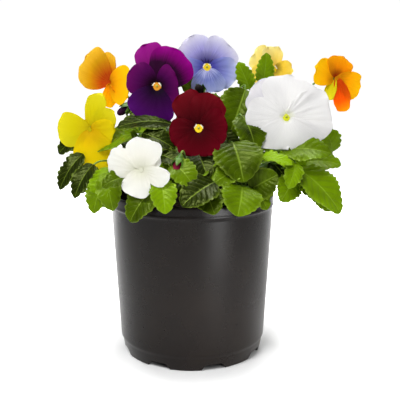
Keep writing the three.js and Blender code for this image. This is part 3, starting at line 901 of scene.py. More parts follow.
def soften(piece: bpy.types.Object, width: float, sharper: float = math.radians(30)) -> None:
    """Rounds a piece's edges.

    Args:
        piece: The piece.
        width: How wide the rounding is, in millimetres.
        sharper: Only edges that turn by more than this are rounded.
    """
    choose(piece)
    bpy.ops.object.transform_apply(location=True, rotation=True, scale=True)
    bevel = piece.modifiers.new("Rounded edges", "BEVEL")
    bevel.width = width * MM
    bevel.segments = 3
    bevel.angle_limit = sharper
    bpy.ops.object.modifier_apply(modifier=bevel.name)


def cut(piece: bpy.types.Object, cutter: bpy.types.Object) -> None:
    """Cuts a piece with another.

    Args:
        piece: The piece.
        cutter: What is cut out of it, which is then deleted.
    """
    choose(piece)
    difference = piece.modifiers.new("Cut", "BOOLEAN")
    difference.operation = "DIFFERENCE"
    difference.solver = "EXACT"
    difference.object = cutter
    bpy.ops.object.modifier_apply(modifier=difference.name)
    bpy.data.objects.remove(cutter)


@dataclass
class PottingMix:
    """The mix that fills the pot, with a crumbled top, bark chips and plain holes."""

    pot: Pot
    crowns: list[Point]
    sides: int = 96
    edge: float = 147.0
    middle: float = 150.0
    gap: float = 0.3
    hole_radius: float = 5.0
    hole_depth: float = 12.3
    crumb: float = 1.6
    clod: float = 9.0
    chips: int = 240
    chip_size: float = 2.6
    chip_lift: float = 0.4
    top_rings: int = 25
    shade_angle: float = 40.0

    def build(self, paints: Paints) -> bpy.types.Object:
        """Models, roughens and dresses the mix.

        Args:
            paints: Where its material is kept.

        Returns:
            The finished mix.
        """
        pot = self.pot
        inner = pot.shoulder_radius - pot.wall - self.gap
        top = pot.rim_radius - pot.rim_step - pot.wall - self.gap
        rise = (self.edge - pot.shoulder_height) / (pot.height - pot.rim_band - pot.shoulder_height)
        rim = inner + (top - inner) * rise
        rings = [
            (pot.ledge_radius - pot.ledge_slope - self.gap, pot.floor + self.gap),
            (pot.ledge_radius - self.gap, pot.ledge + self.gap),
            (pot.foot_radius - pot.wall - 2 * self.gap, pot.ledge + self.gap),
            (inner, pot.shoulder_height), (rim, self.edge),
        ]
        for k in range(self.top_rings):
            share = 1 - (k + 1) / (self.top_rings + 1)
            rings.append((rim * share, self.edge + (self.middle - self.edge) * (1 - share**2)))
        mix = turned_body("potting_mix_fill", rings, self.sides)
        self.crumble(mix, rim)
        for x, y, _ in self.crowns:
            bpy.ops.mesh.primitive_cylinder_add(
                vertices=20, radius=self.hole_radius * MM, depth=2 * self.hole_depth * MM,
                location=Vector((x, y, self.edge)) * MM)
            cut(mix, bpy.context.object)
        chips = self.scatter(rim)
        choose(mix, *chips)
        bpy.ops.object.join()
        mix.data.materials.clear()
        mix.data.materials.append(paints.of(POTTING_MIX))
        bpy.ops.object.shade_smooth_by_angle(angle=math.radians(self.shade_angle))
        stand_for(mix, "soil")
        return mix

    def crumble(self, mix: bpy.types.Object, rim: float) -> None:
        """Lifts and sinks the top by crumbs, and leaves its edge at the wall.

        Args:
            mix: The mix.
            rim: The radius of its top.
        """
        clods = bpy.data.textures.new("Crumbs", "CLOUDS")
        clods.noise_scale = self.clod * MM
        clods.noise_depth = 4
        top = mix.vertex_groups.new(name="Top")
        inside = [
            v.index for v in mix.data.vertices
            if v.co.z > (self.edge + 0.05) * MM and v.co.xy.length < (rim - 2) * MM]
        top.add(inside, 1.0, "REPLACE")
        choose(mix)
        rough = mix.modifiers.new("Crumbled top", "DISPLACE")
        rough.texture = clods
        rough.strength = 2 * self.crumb * MM
        rough.direction = "Z"
        rough.vertex_group = top.name
        bpy.ops.object.modifier_apply(modifier=rough.name)
        mix.vertex_groups.clear()

    def scatter(self, rim: float) -> list[bpy.types.Object]:
        """Lays bark chips in the top of the mix, clear of the crowns.

        Args:
            rim: The radius of the mix's top.

        Returns:
            The chips.
        """
        draw = Draw(SEED)
        bpy.ops.mesh.primitive_ico_sphere_add(subdivisions=1, radius=self.chip_size * MM / 2)
        first = bpy.context.object
        made = [first]
        while len(made) <= self.chips:
            turn = 2 * math.pi * draw.unit()
            far = (rim - 4) * math.sqrt(draw.unit())
            spot = Vector((far * math.cos(turn), far * math.sin(turn)))
            scale = Vector((0.7 + draw.unit(), 0.5 + 0.6 * draw.unit(), 0.25 + 0.4 * draw.unit()))
            lean = Euler((draw.vary(0.7), draw.vary(0.7), draw.vary(math.pi)))
            if min((spot - Vector(c[:2])).length for c in self.crowns) < self.hole_radius + 3:
                continue
            height = self.edge + (self.middle - self.edge) * (1 - (far / rim) ** 2) + self.chip_lift
            chip = first.copy()
            chip.data = first.data.copy()
            chip.location = Vector((spot.x, spot.y, height)) * MM
            chip.rotation_euler = lean
            chip.scale = scale
            bpy.context.scene.collection.objects.link(chip)
            made.append(chip)
        made.remove(first)
        bpy.data.objects.remove(first)
        return made


# ---------------------------------------------------------------- blooms


class Eye(Enum):
    """How the middle of a bloom looks."""

    YELLOW = "a yellow eye under a white beard"
    ORANGE = "an orange eye under a white beard"
    WHISKERED = "a yellow eye with a white beard and dark whiskers"
    LIME = "a small lime eye"
    HIDDEN = "no open eye"


@dataclass(frozen=True)
class Petal:
    """One petal of a bloom."""

    at: float  # its direction, in degrees clockwise from the top of the face
    long: float
    wide: float
    finish: PetalFinish
    layer: float = 0.0  # how far forward it lies
    tilt: float = 0.0  # how far it leans forward, to each millimetre out
    twist: float = 0.0  # degrees that it is turned about its own length
    notch: float = 0.0  # how deep the notch in its tip is, as a share of its length
    ruffle: float = 1.5  # how high the waves of its edge are
    pleat: float = 0.16  # how high the fine pleats that fan out over it are


def petal_look(
    name: str, edge: int, body: int, heart: int, vein: int, **more: float
) -> PetalFinish:
    """Returns a petal finish with a name of its own.

    Args:
        name: The petal's colour in plain words.
        edge: Colour at its outer edge.
        body: Colour over most of it.
        heart: Colour near the eye.
        vein: Colour of its streaks.
        more: Other fields of the finish.

    Returns:
        The finish.
    """
    return PetalFinish(f"Pansy petal, {name}", edge, body, heart, vein, **more)


CREAM = petal_look(
    "cream white", 0xFFFFFC, 0xFEFDF6, 0xF4F4E4, 0xE6E4D0, vein_share=0.15, glow=0.4)
CRIMSON_BACK = petal_look(
    "dark crimson", 0x680614, 0x4E030C, 0x300207, 0x280206, sheen=0.03, glow=0.12,
    gloss=0.04)
CRIMSON = petal_look(
    "crimson", 0x620314, 0x4E020C, 0x360208, 0x2C0207, sheen=0.03, glow=0.12, gloss=0.04)
# painted shade: the white's edge is a little grey, so that its overlapping petals stand apart
WHITE = petal_look(
    "white", 0xF3F2F2, 0xFFFEFC, 0xEDF0C8, 0xD8D6DA, heart_at=0.08, body_at=0.2, vein_share=0.2,
    vein_end=1.0, relief=1.0)
WHITE_BACK = petal_look(
    "white in shade", 0xEFEDF0, 0xDEDCE2, 0xD6D5D2, 0xBEBCC6, vein_share=0.25, relief=0.8)
LEMON = petal_look("lemon yellow", 0xE6DC1C, 0xDCD000, 0xD6C200, 0xD8C400, vein_share=0.15)
GOLDEN = petal_look(
    "golden yellow", 0xF4E208, 0xF2DC00, 0xECC600, 0xE2B400, vein_share=0.2, glow=0.4)
MAGENTA = petal_look(
    "magenta purple", 0x940082, 0x80006E, 0x3A0434, 0x4A0642, heart_at=0.3, body_at=0.5,
    vein_share=0.5, sheen=0.04, glow=0.15)
MAGENTA_SHADED = petal_look(
    "magenta round plum", 0x940082, 0x7C006C, 0x2C0328, 0x36042E, heart_at=1.2, body_at=0.82,
    sheen=0.04, glow=0.15, gloss=0.05)
PLUM = petal_look(
    "black plum", 0x620A58, 0x480448, 0x160210, 0x14020F, heart_at=0.5, body_at=0.62, sheen=0.03,
    glow=0.1, gloss=0.04)
VIOLET = petal_look(
    "deep violet", 0x4E0A66, 0x3E084C, 0x18041E, 0x14031A, heart_at=0.4, body_at=0.6, sheen=0.06,
    glow=0.12, gloss=0.05)
LAVENDER = petal_look(
    "pale lavender", 0xD8D6E6, 0xAAA6DC, 0x2C2272, 0x443CA0, heart_at=0.36, body_at=0.55,
    vein_share=0.7, vein_end=0.85)
PERIWINKLE = petal_look(
    "periwinkle", 0xC8CEEE, 0x98A0DE, 0x5452B8, 0x4040A4, heart_at=0.45, body_at=0.66,
    vein_share=0.55)
BLUE = petal_look(
    "veined blue", 0xB4BEE8, 0x929EDC, 0xD0D6F8, 0x2C34A4, heart_at=0.3, vein_share=0.85,
    vein_end=1.0)
BUTTER = petal_look("butter yellow", 0xFFF4A4, 0xFFEC78, 0xFFD850, 0xEFC040, vein_share=0.3)
MAIZE = petal_look("maize yellow", 0xFFEA68, 0xFFE44C, 0x6A3A08, 0x8A5A10, heart_at=0.15)
APRICOT = petal_look(
    "orange yellow", 0xEEC836, 0xE0AA08, 0xCC3C04, 0xE07A06, heart_at=0.42, body_at=0.62,
    vein_share=0.5, glow=0.35)
TANGERINE = petal_look(
    "tangerine", 0xF8BE08, 0xF2A804, 0xBE3402, 0xE87804, heart_at=0.3, vein_share=0.35, glow=0.45)
EMBER = petal_look(
    "red orange", 0xFFBE0A, 0xFF8204, 0xEE5A08, 0xE86404, heart_at=0.42, body_at=0.68,
    vein_share=0.2, glow=0.45)
SUNNY = petal_look(
    "sunny yellow", 0xFFD80A, 0xFFCA04, 0xF4A402, 0xEA9402, heart_at=0.25, vein_share=0.3,
    glow=0.4)


@dataclass
class Bloom:
    """An open bloom on its throat: petals, eye, beard, stigma and spur."""

    name: str
    face: Point
    azimuth: float  # degrees that it looks to the right of the front
    elevation: float  # degrees that it looks up
    petals: tuple[Petal, ...]
    eye: Eye = Eye.YELLOW
    rows: int = 34
    columns: int = 30
    throat_depth: float = 4.0
    bowl_reach: float = 5.0  # how far out the petals rise from the throat
    curl: float = 0.0022  # how fast they fall back towards their edges
    thick: float = 0.6
    outline: tuple[tuple[float, int], ...] = ((0.026, 4), (0.01, 9), (0.003, 19))  # its lobes
    notch_width: float = 0.3
    ruffles: tuple[int, int] = (6, 11)  # how many waves go round a petal's edge
    pleats: int = 26
    layer_reach: float = 6.0  # how far out a petal has reached its layer
    eye_radius: float = 4.3
    hairs: int = 8  # on each side of the eye
    whiskers: int = 14

    def axes(self) -> tuple[Vector, Vector, Vector]:
        """Works out the way that the bloom looks.

        Returns:
            The directions out of the face, to its right and to its top.
        """
        a, e = math.radians(self.azimuth), math.radians(self.elevation)
        out = Vector((math.sin(a) * math.cos(e), -math.cos(a) * math.cos(e), math.sin(e)))
        right = Vector((math.cos(a), math.sin(a), 0))
        return out, right, unit(out.cross(right))

    def throat(self) -> Vector:
        """Returns the point that the petals spring from."""
        return Vector(self.face) - self.throat_depth * self.axes()[0]

    def build(self, paints: Paints) -> bpy.types.Object:
        """Grows and dresses the bloom.

        Args:
            paints: Where its materials are kept.

        Returns:
            The finished bloom.
        """
        finishes: list[Finish] = []
        for petal in self.petals:
            if petal.finish not in finishes:
                finishes.append(petal.finish)
        growth = Growth([*finishes, EYE, EYE_ORANGE, EYE_GREEN, BEARD, WHISKER, STIGMA, STEM])
        draw = Draw(SEED + sum(map(ord, self.name)))
        for index, petal in enumerate(self.petals):
            self.add_petal(growth, petal, finishes.index(petal.finish), index, draw)
        self.add_middle(growth, draw)
        made = growth.piece(f"pansy_bloom_{self.name}", paints)
        stand_for(made, f"bloom_{self.name}")
        return made

    def add_petal(self, growth: Growth, petal: Petal, slot: int, index: int, draw: Draw) -> None:
        """Adds one ruffled petal.

        Args:
            growth: The bloom's growth.
            petal: The petal's shape.
            slot: The slot of its finish.
            index: Which petal it is, to set its streaks apart.
            draw: The bloom's random numbers.
        """
        out, right, top = self.axes()
        at = math.radians(petal.at)
        along = top * math.cos(at) + right * math.sin(at)
        across = out.cross(along)
        across.rotate(Quaternion(along, math.radians(petal.twist)))
        up = unit(along.cross(across))
        part = np.linspace(0.03, 0.988, self.rows)[:, None]
        side = np.linspace(-1, 1, self.columns)[None, :]
        swell = np.sin(np.pi * part) ** 0.8 * (1 - 0.3 * np.cos(np.pi * part))
        run = petal.long * (1 - np.cos(np.pi * part)) / 2 + 0 * side
        half = petal.wide / 2 * swell * side
        # a soft notch in the tip, then an uneven outline
        notch = np.exp(-((side / self.notch_width) ** 2))
        run = run - petal.notch * petal.long * part**6 * notch
        rim = 1 - (1 - side**2) * (1 - part**5)
        turn = np.arctan2(half, run - 0.5 * petal.long)
        phases = [draw.unit() * 2 * math.pi for _ in range(5)]
        starts = (phases[0], phases[1], phases[0])
        uneven = sum(
            size * np.sin(lobes * turn + start)
            for (size, lobes), start in zip(self.outline, starts))
        grow = 1 + uneven * rim**2 * part
        run, half = run * grow, half * grow
        far = np.hypot(run, half)
        fan = np.arctan2(half, run + 2)
        bowl = self.throat_depth * (1 - np.exp(-far / self.bowl_reach)) - self.curl * far**2
        few, many = self.ruffles
        waves = np.sin(few * turn + phases[2]) + 0.6 * np.sin(many * turn + phases[3])
        ruffle = petal.ruffle * rim**3 * part**2 * waves
        pleats = petal.pleat * np.sin(self.pleats * fan + phases[4] + 2 * np.sin(7 * fan))
        pleats = pleats * np.sin(np.pi * np.clip(far / petal.long, 0, 1))
        layer = petal.layer * np.tanh(far / self.layer_reach)
        rise = bowl + ruffle + pleats + layer + run * petal.tilt
        middles = (
            np.array(self.throat()) + spread(run, along) + spread(half, across) + spread(rise, up))
        values = np.stack([far / petal.long, fan + 9 * index, rim + 0 * side], axis=2)
        growth.sheet(middles, up, self.thick, (slot, slot), values)

    def add_middle(self, growth: Growth, draw: Draw) -> None:
        """Adds the throat, the eye with its hairs, the stigma and the spur.

        Args:
            growth: The bloom's growth.
            draw: The bloom's random numbers.
        """
        out, right, top = self.axes()
        throat = self.throat()
        slot = growth.finishes.index
        heart = {Eye.ORANGE: EYE_ORANGE, Eye.LIME: EYE_GREEN}.get(self.eye, EYE)
        hidden = self.eye is Eye.HIDDEN
        eye = slot(growth.finishes[0] if hidden else heart)
        radius = self.eye_radius * {Eye.HIDDEN: 0.5, Eye.LIME: 0.85}.get(self.eye, 1.0)
        spur = unit(-0.6 * out - top)
        growth.tube([throat - 1.5 * out, throat, throat + out], [3.0, 3.2, 3.4], slot(STEM), 12)
        growth.tube(
            [throat + k * 2 * spur for k in range(5)], [2.2, 2.0, 1.7, 1.4, 0.9], slot(STEM))
        # the eye is a shallow cup round the throat's opening
        levels = [(1.0, 0.55), (2.2, 1.0), (2.9, 0.94), (2.7, 0.6), (2.2, 0.3), (1.9, 0.1)]
        growth.tube(
            [throat + h * out for h, _ in levels], [radius * share for _, share in levels], eye, 24)
        if hidden:
            return
        ball = throat + 3.0 * out + 0.9 * top
        growth.tube(
            [ball + k * 0.5 * out for k in (-1, -0.3, 0.6, 1.5, 2.0)], [0.5, 1.0, 1.2, 0.9, 0.3],
            slot(STIGMA), 12)
        hairs = self.hairs // 2 if self.eye is Eye.LIME else self.hairs
        for sign in (-1, 1):
            for k in range(hairs):
                angle = math.radians(25 + 60 * k / hairs + draw.vary(3))
                ray = unit(top * math.cos(angle) + right * sign * math.sin(angle))
                root = throat + ray * radius * 0.8 + 2.4 * out
                tip = root + ray * (1.1 + draw.vary(0.4)) + out * (0.7 + draw.vary(0.3))
                growth.tube([root, (root + tip) / 2, tip], [0.5, 0.42, 0.12], slot(BEARD), 5)
        if self.eye is Eye.WHISKERED:
            for k in range(self.whiskers):
                angle = math.radians(-150 + 300 * k / (self.whiskers - 1))
                ray = unit(top * math.cos(angle) + right * math.sin(angle))
                root = throat + ray * (radius + 0.2) + 2.4 * out
                tip = root + ray * (5.4 + draw.vary(1.6)) + out * 1.1
                growth.tube([root, (root + tip) / 2, tip], [0.45, 0.36, 0.1], slot(WHISKER), 4)


BACK, SHOULDER, FRONT = -2.4, -1.2, 1.2  # how far forward each layer of petals lies

# each bloom's middle, the way that it looks, and its petals from the back to the front
BLOOMS = (
    Bloom("cream", (-46, -85, 200), -12, 5, (
        Petal(40, 20, 20, CREAM, BACK), Petal(-74, 33, 26, CREAM, BACK), Petal(7, 28, 32, CREAM),
        Petal(109, 27, 17, CREAM, 0.8), Petal(194, 25, 26, CREAM, FRONT)), Eye.HIDDEN),
    Bloom("crimson", (6, -60, 234), -3, 10, (
        Petal(-24, 37, 28, CRIMSON_BACK, BACK), Petal(23, 34, 32, CRIMSON_BACK, SHOULDER),
        Petal(-104, 27, 27, CRIMSON), Petal(82, 26, 32, CRIMSON),
        Petal(178, 25, 38, CRIMSON, FRONT, notch=0.08))),
    Bloom("white", (90, -35, 242), 5, 10, (
        Petal(-46, 43, 37, WHITE_BACK, BACK), Petal(12, 40, 54, WHITE, SHOULDER),
        Petal(-95, 38, 42, WHITE), Petal(84, 45, 48, WHITE, pleat=0.5),
        Petal(176, 30, 64, WHITE, FRONT, notch=0.1)), Eye.LIME),
    Bloom("yellow", (-100, -20, 229), -15, 0, (
        Petal(14, 36, 20, LEMON, BACK), Petal(57, 29, 22, LEMON, BACK), Petal(-92, 34, 33, LEMON),
        Petal(100, 25, 26, GOLDEN), Petal(170, 40, 43, GOLDEN, FRONT, notch=0.12)), Eye.HIDDEN),
    Bloom("purple", (-33, -35, 271), 5, 8, (
        Petal(-11, 42, 28, MAGENTA, BACK), Petal(36, 40, 42, MAGENTA_SHADED, SHOULDER),
        Petal(-64, 29, 30, PLUM), Petal(78, 20, 36, PLUM),
        Petal(198, 32, 43, VIOLET, FRONT, notch=0.06)), Eye.ORANGE),
    Bloom("blue", (15, 0, 288), 3, 8, (
        Petal(-40, 34, 38, LAVENDER, BACK), Petal(44, 32, 36, LAVENDER, SHOULDER),
        Petal(-108, 27, 28, PERIWINKLE), Petal(106, 30, 30, PERIWINKLE),
        Petal(176, 25, 33, BLUE, FRONT, notch=0.06)), Eye.WHISKERED),
    Bloom("pale_yellow", (86, 45, 285), 25, 5, (
        Petal(-50, 28, 28, BUTTER, BACK), Petal(0, 24, 24, BUTTER, SHOULDER),
        Petal(-105, 27, 19, MAIZE), Petal(94, 23, 20, MAIZE),
        Petal(176, 18, 26, MAIZE, FRONT, notch=0.08))),
    Bloom("orange", (146, 10, 277), 25, 0, (
        Petal(-66, 26, 27, SUNNY, BACK), Petal(18, 22, 30, TANGERINE, SHOULDER),
        Petal(112, 32, 27, SUNNY), Petal(162, 35, 20, EMBER, FRONT),
        Petal(198, 23, 12, LEMON, twist=55)), Eye.HIDDEN),
    Bloom("golden", (-85, 20, 273), -28, 5, (
        Petal(-24, 30, 28, APRICOT, BACK), Petal(-58, 41, 42, APRICOT, SHOULDER),
        Petal(98, 31, 38, SUNNY, tilt=0.3), Petal(140, 17, 16, TANGERINE, twist=50),
        Petal(188, 25, 16, SUNNY, twist=-55)), Eye.HIDDEN),
)


@dataclass
class Bud:
    """A closed bud: rolled petals that show between the sepals."""

    name: str
    base: Point
    out: Point
    slot: str
    finish: PetalFinish
    rows: int = 22
    columns: int = 28
    radius: float = 4.2
    stretch: float = 1.7  # how much longer than wide it is
    calyx: float = 12.3  # from the back of its calyx to its middle
    fold: float = 0.12  # how deep the folds between its rolled petals are
    shade_angle: float = 50.0

    def direction(self) -> Vector:
        """Returns the way that the bud points."""
        return unit(Vector(self.out))

    def build(self, paints: Paints) -> bpy.types.Object:
        """Grows and dresses the bud.

        Args:
            paints: Where its material is kept.

        Returns:
            The finished bud.
        """
        choose_none()
        bpy.ops.mesh.primitive_uv_sphere_add(
            segments=self.columns, ring_count=self.rows, radius=self.radius * MM)
        made = bpy.context.object
        made.name = made.data.name = f"pansy_{self.name}"
        out = self.direction()
        turn = Vector((0, 0, 1)).rotation_difference(out)
        centre = Vector(self.base) + self.calyx * out
        values = []
        for vertex in made.data.vertices:
            place = vertex.co / (self.radius * MM)
            angle = math.atan2(place.y, place.x)
            # the rolled petals wind round the bud as three shallow folds
            wave = abs(math.sin(1.5 * angle + 2.2 * place.z))
            fold = 1 - self.fold * wave * (1 - place.z**2)
            shaped = Vector((place.x * fold, place.y * fold, place.z * self.stretch))
            shaped.rotate(turn)
            vertex.co = (centre + shaped * self.radius) * MM
            values.extend(((place.z + 1) / 2, angle, 0.0))
        surface = made.data.attributes.new("surface", "FLOAT_VECTOR", "POINT")
        surface.data.foreach_set("vector", values)
        made.location = (0, 0, 0)
        made.data.materials.append(paints.of(self.finish))
        choose(made)
        bpy.ops.object.shade_smooth_by_angle(angle=math.radians(self.shade_angle))
        stand_for(made, self.name)
        return made


# each bud's base, the way that it points, the name of a petals' slot, which nothing reads, and its
# own finish
BUDS = (
    Bud("bud_left", (-58, -8, 254), (-0.75, -0.35, -0.55), "petal_purple",
        petal_look("bud, black purple", 0x3A1038, 0x2C0C2E, 0x1A0A16, 0x12060F)),
    Bud("bud_middle", (11, -28, 265), (-0.3, -0.8, 0.3), "petal_blue",
        petal_look("bud, near black", 0x241C1C, 0x1D1613, 0x120E0C, 0x0C0808)),
    Bud("bud_front", (-10, -68, 212), (-0.3, -0.35, -0.85), "petal_crimson",
        petal_look("bud, crimson pink", 0xA82A50, 0x7A1030, 0x4A0A1C, 0x3A0614)),
)

# ---------------------------------------------------------------- plants


class LeafTone(Enum):
    """Each leaf's tone, from dark to bright: partly its own green, partly painted shade for leaves
    that sit in shade and painted light for lit ones.
    """

    OLD = -0.08
    DARK = 0.1
    MID_TONE = 0.3
    LIGHT_TONE = 0.48
    LIGHTEST = 0.75


@dataclass(frozen=True)
class Leaf:
    """A leaf from its base to its tip."""

    base: Point
    tip: Point
    wide: float
    looks: Point | None = None  # the way that its upper side turns, or outward and up
    age: LeafTone | None = None  # or its plant's own tone, varied

    def axes(self) -> tuple[Vector, Vector, Vector]:
        """Works out how the leaf lies.

        Returns:
            The directions along it, across it and out of its upper side.
        """
        base, tip = Vector(self.base), Vector(self.tip)
        along = unit(tip - base)
        middle = (base + tip) / 2
        outward = unit(Vector((middle.x, middle.y, 0)))
        hint = Vector(self.looks) if self.looks else 0.7 * outward + Vector((0, -0.4, 0.7))
        across = unit(along.cross(hint))
        return along, across, unit(across.cross(along))


@dataclass
class Plant:
    """One pansy plant: its crown, leaves, flower stalks and calyces, grown as one piece."""

    name: str
    crown: tuple[float, float]
    blooms: tuple[str, ...]
    buds: tuple[str, ...]
    leaves: list[Leaf]
    tone: float = 0.45  # 0 for dark leaves, 1 for bright ones: partly their own green, partly painted shade and painted light
    tone_range: float = 0.4
    young: int = 8  # small leaves round the crown
    thick: float = 0.55
    tooth: float = 5.0  # length of a leaf's scallops
    tooth_depth: float = 1.7
    veins: int = 7  # side veins on each side of a leaf
    vein_lead: float = 0.6  # how far a side vein runs forward on its way to the edge
    vein_wander: float = 0.1
    quilt: float = 0.05  # how high the blade swells between veins, as a share of its width
    arch: float = 0.1  # how high the blade arches along its length, as a share of it
    fold: float = 0.16  # how far its halves fold up, as a share of the way out
    ripple: float = 1.6
    droop: float = 0.6
    petiole: float = 1.1
    petiole_ring: float = 2.8  # how far from the crown's axis a leaf's stem starts
    stalk: float = 1.1
    stalk_ring: float = 2.0
    throat_back: float = 7.8  # from a bloom's throat back to its calyx
    open_calyx: tuple[float, float] = (11.0, 2.0)  # reach and lead of its sepals' tips
    shut_calyx: tuple[float, float] = (5.6, 7.0)  # the same round a bud
    sepals: int = 5
    young_from: Point = (8.0, 8.0, 170.0)  # least radius, its range and least height
    young_rise: float = 42.0  # how far up the bases of the young leaves are strewn
    young_long: float = 12.0
    young_wide: float = 17.0
    crown_radius: float = 4.2
    crown_foot: float = 135.0
    crown_top: float = 162.0

    def build(self, paints: Paints) -> bpy.types.Object:
        """Grows and dresses the plant.

        Args:
            paints: Where its materials are kept.

        Returns:
            The finished plant.
        """
        growth = Growth([LEAF_TOP, LEAF_UNDER, STEM, SEPAL])
        draw = Draw(SEED + sum(map(ord, self.name)))
        self.add_crown(growth)
        for leaf in self.leaves:
            self.add_blade(growth, leaf, draw)
            self.add_petiole(growth, leaf)
        self.add_young_leaves(growth, draw)
        for bloom in BLOOMS:
            if bloom.name in self.blooms:
                out, _, top = bloom.axes()
                base = bloom.throat() - self.throat_back * out
                self.add_stalk(growth, base, out)
                self.add_calyx(growth, base, out, top, *self.open_calyx)
        for bud in BUDS:
            if bud.name in self.buds:
                out = bud.direction()
                top = unit(out.cross(unit(Vector((0, 0, 1)).cross(out))))
                self.add_stalk(growth, Vector(bud.base), out)
                self.add_calyx(growth, Vector(bud.base), out, top, *self.shut_calyx)
        made = growth.piece(f"pansy_{self.name}", paints)
        stand_for(made, self.name)
        return made

    def add_young_leaves(self, growth: Growth, draw: Draw) -> None:
        """Adds small leaves round the crown, which close the view through the foliage.

        Args:
            growth: The plant's growth.
            draw: The plant's random numbers.
        """
        near, strip, low = self.young_from
        long, wide = self.young_long, self.young_wide
        for k in range(self.young):
            angle = 2 * math.pi * (k + 0.6 * draw.unit()) / self.young
            out = Vector((math.cos(angle), math.sin(angle), 0))
            high = low + self.young_rise * draw.unit()
            base = Vector((*self.crown, high)) + out * (near + strip * draw.unit())
            tip = base + out * (long + 8 * draw.unit()) + Vector((0, 0, long + draw.vary(10)))
            looks = Vector((0.3 * out.x, 0.3 * out.y - 0.5, 0.8))
            leaf = Leaf(tuple(base), tuple(tip), wide + draw.vary(4), tuple(looks))
            self.add_blade(growth, leaf, draw, rows=20, columns=9)
            self.add_petiole(growth, leaf)

    def add_crown(self, growth: Growth) -> None:
        """Adds the short crown that stands in the mix, thinner towards its top."""
        levels = (
            (self.crown_foot, self.crown_radius), (150.0, 4.0), (157.0, 3.6),
            (self.crown_top, self.crown_radius - 1))
        growth.tube(
            [Vector((*self.crown, height)) for height, _ in levels],
            [radius for _, radius in levels], growth.finishes.index(STEM), 12)

    def add_blade(
        self, growth: Growth, leaf: Leaf, draw: Draw, rows: int = 90, columns: int = 15
    ) -> None:
        """Adds a scalloped blade, quilted between its veins.

        Args:
            growth: The plant's growth.
            leaf: The leaf's place and size.
            draw: The plant's random numbers.
            rows: Points along the blade.
            columns: Points across it.
        """
        along, across, up = leaf.axes()
        base = Vector(leaf.base)
        long = (Vector(leaf.tip) - base).length
        part = np.linspace(0.015, 0.99, rows)[:, None]
        side = np.linspace(-1, 1, columns)[None, :]
        u = (1 - np.cos(np.pi * part)) / 2 + 0 * side
        swell = np.sin(np.pi * part) * (1 + 0.25 * np.cos(np.pi * part))
        turns = [draw.unit() * 2 * math.pi for _ in range(5)]
        teeth = round(long / self.tooth)
        drift = u + 0.02 + 0.012 * np.sin(9 * u + turns[3] + np.sign(side))
        crest = np.sqrt(np.sin(np.pi * teeth * drift) ** 2 + 0.03) - 0.65
        scallop = self.tooth_depth * crest * np.abs(side) ** 4 * np.minimum(1, 2.5 * swell)
        half = leaf.wide / 2 * swell * np.abs(side) + scallop
        # side veins leave the midrib by turns, and wander a little on their way out
        wander = self.vein_wander * np.sin(6 * u + turns[4] + 2.4 * side)
        phase = (u - self.vein_lead * np.abs(side) ** 1.2 * 0.5) * self.veins
        phase = phase + 0.25 * np.sign(side) + wander * np.abs(side)
        quilt = np.abs(np.sin(np.pi * phase)) ** 0.7 * np.sqrt(np.abs(side)) * (1 - side**6)
        waves = self.ripple * np.sin(11 * u + turns[0] + 2 * side) * swell + 0.6 * crest
        ripple = waves * side**4
        droop = self.droop * np.sin(3 * u + turns[1]) * u
        rise = self.arch * long * 4 * u * (1 - u) + self.fold * half
        rise = rise + self.quilt * leaf.wide * quilt * swell + ripple + droop
        middles = (
            np.array(base) + spread(long * u, along) + spread(np.sign(side) * half, across)
            + spread(rise, up))
        # the tone is partly the leaf's own green, partly painted shade for leaves in shade and
        # painted light for lit ones
        tone = self.tone + draw.vary(self.tone_range)
        if leaf.age is not None:
            tone = leaf.age.value
        # the vein phase runs 0 to 1 from each side vein to halfway and back at the next
        values = np.stack([side + 0 * u, 2 * phase + 40, tone + 0 * u], axis=2)
        sides = (growth.finishes.index(LEAF_TOP), growth.finishes.index(LEAF_UNDER))
        growth.sheet(middles, up, self.thick, sides, values)

    def add_petiole(self, growth: Growth, leaf: Leaf) -> None:
        """Adds a leaf's own stem, from the crown over into the midrib.

        Args:
            growth: The plant's growth.
            leaf: The leaf that it carries.
        """
        along, _, up = leaf.axes()
        base = Vector(leaf.base)
        x, y = self.crown
        side = unit(Vector((base.x - x, base.y - y, 0))) * self.petiole_ring
        start = Vector((x, y, self.crown_top - 3)) + side
        reach = (base + 2 * along - start).length
        end = base + 3 * along - 0.2 * up
        lead = start + Vector((0, 0, 0.45 * reach))
        follow = end - 0.3 * reach * along
        steps = 16
        centres = [bezier(start, lead, follow, end, k / steps) for k in range(steps + 1)]
        radii = [self.petiole * (1.15 - 0.35 * k / steps) for k in range(steps + 1)]
        # the midrib stands out under the blade and thins towards the tip
        long = (Vector(leaf.tip) - base).length
        for share in (0.25, 0.45, 0.65, 0.85):
            rise = self.arch * long * 4 * share * (1 - share)
            centres.append(base + long * share * along + (rise - 0.45) * up)
            radii.append(0.8 - 0.6 * share)
        growth.tube(centres, radii, growth.finishes.index(STEM), 7)

    def add_stalk(self, growth: Growth, head: Vector, out: Vector) -> None:
        """Adds a flower stalk, hooked over into the back of a calyx.

        Args:
            growth: The plant's growth.
            head: The back of the calyx.
            out: The way that the flower looks.
        """
        x, y = self.crown
        side = unit(Vector((head.x - x, head.y - y, 0))) * self.stalk_ring
        start = Vector((x, y, self.crown_top - 6)) + side
        reach = (head - start).length
        lead = start.lerp(head, 0.4) + Vector((0, 0, 0.25 * reach))
        follow = head - 0.18 * reach * out + Vector((0, 0, 4))
        steps = 22
        end = head + 2 * out
        centres = [bezier(start, lead, follow, end, k / steps) for k in range(steps + 1)]
        radii = [self.stalk * (1.2 - 0.3 * k / steps) for k in range(steps + 1)]
        growth.tube(centres, radii, growth.finishes.index(STEM))

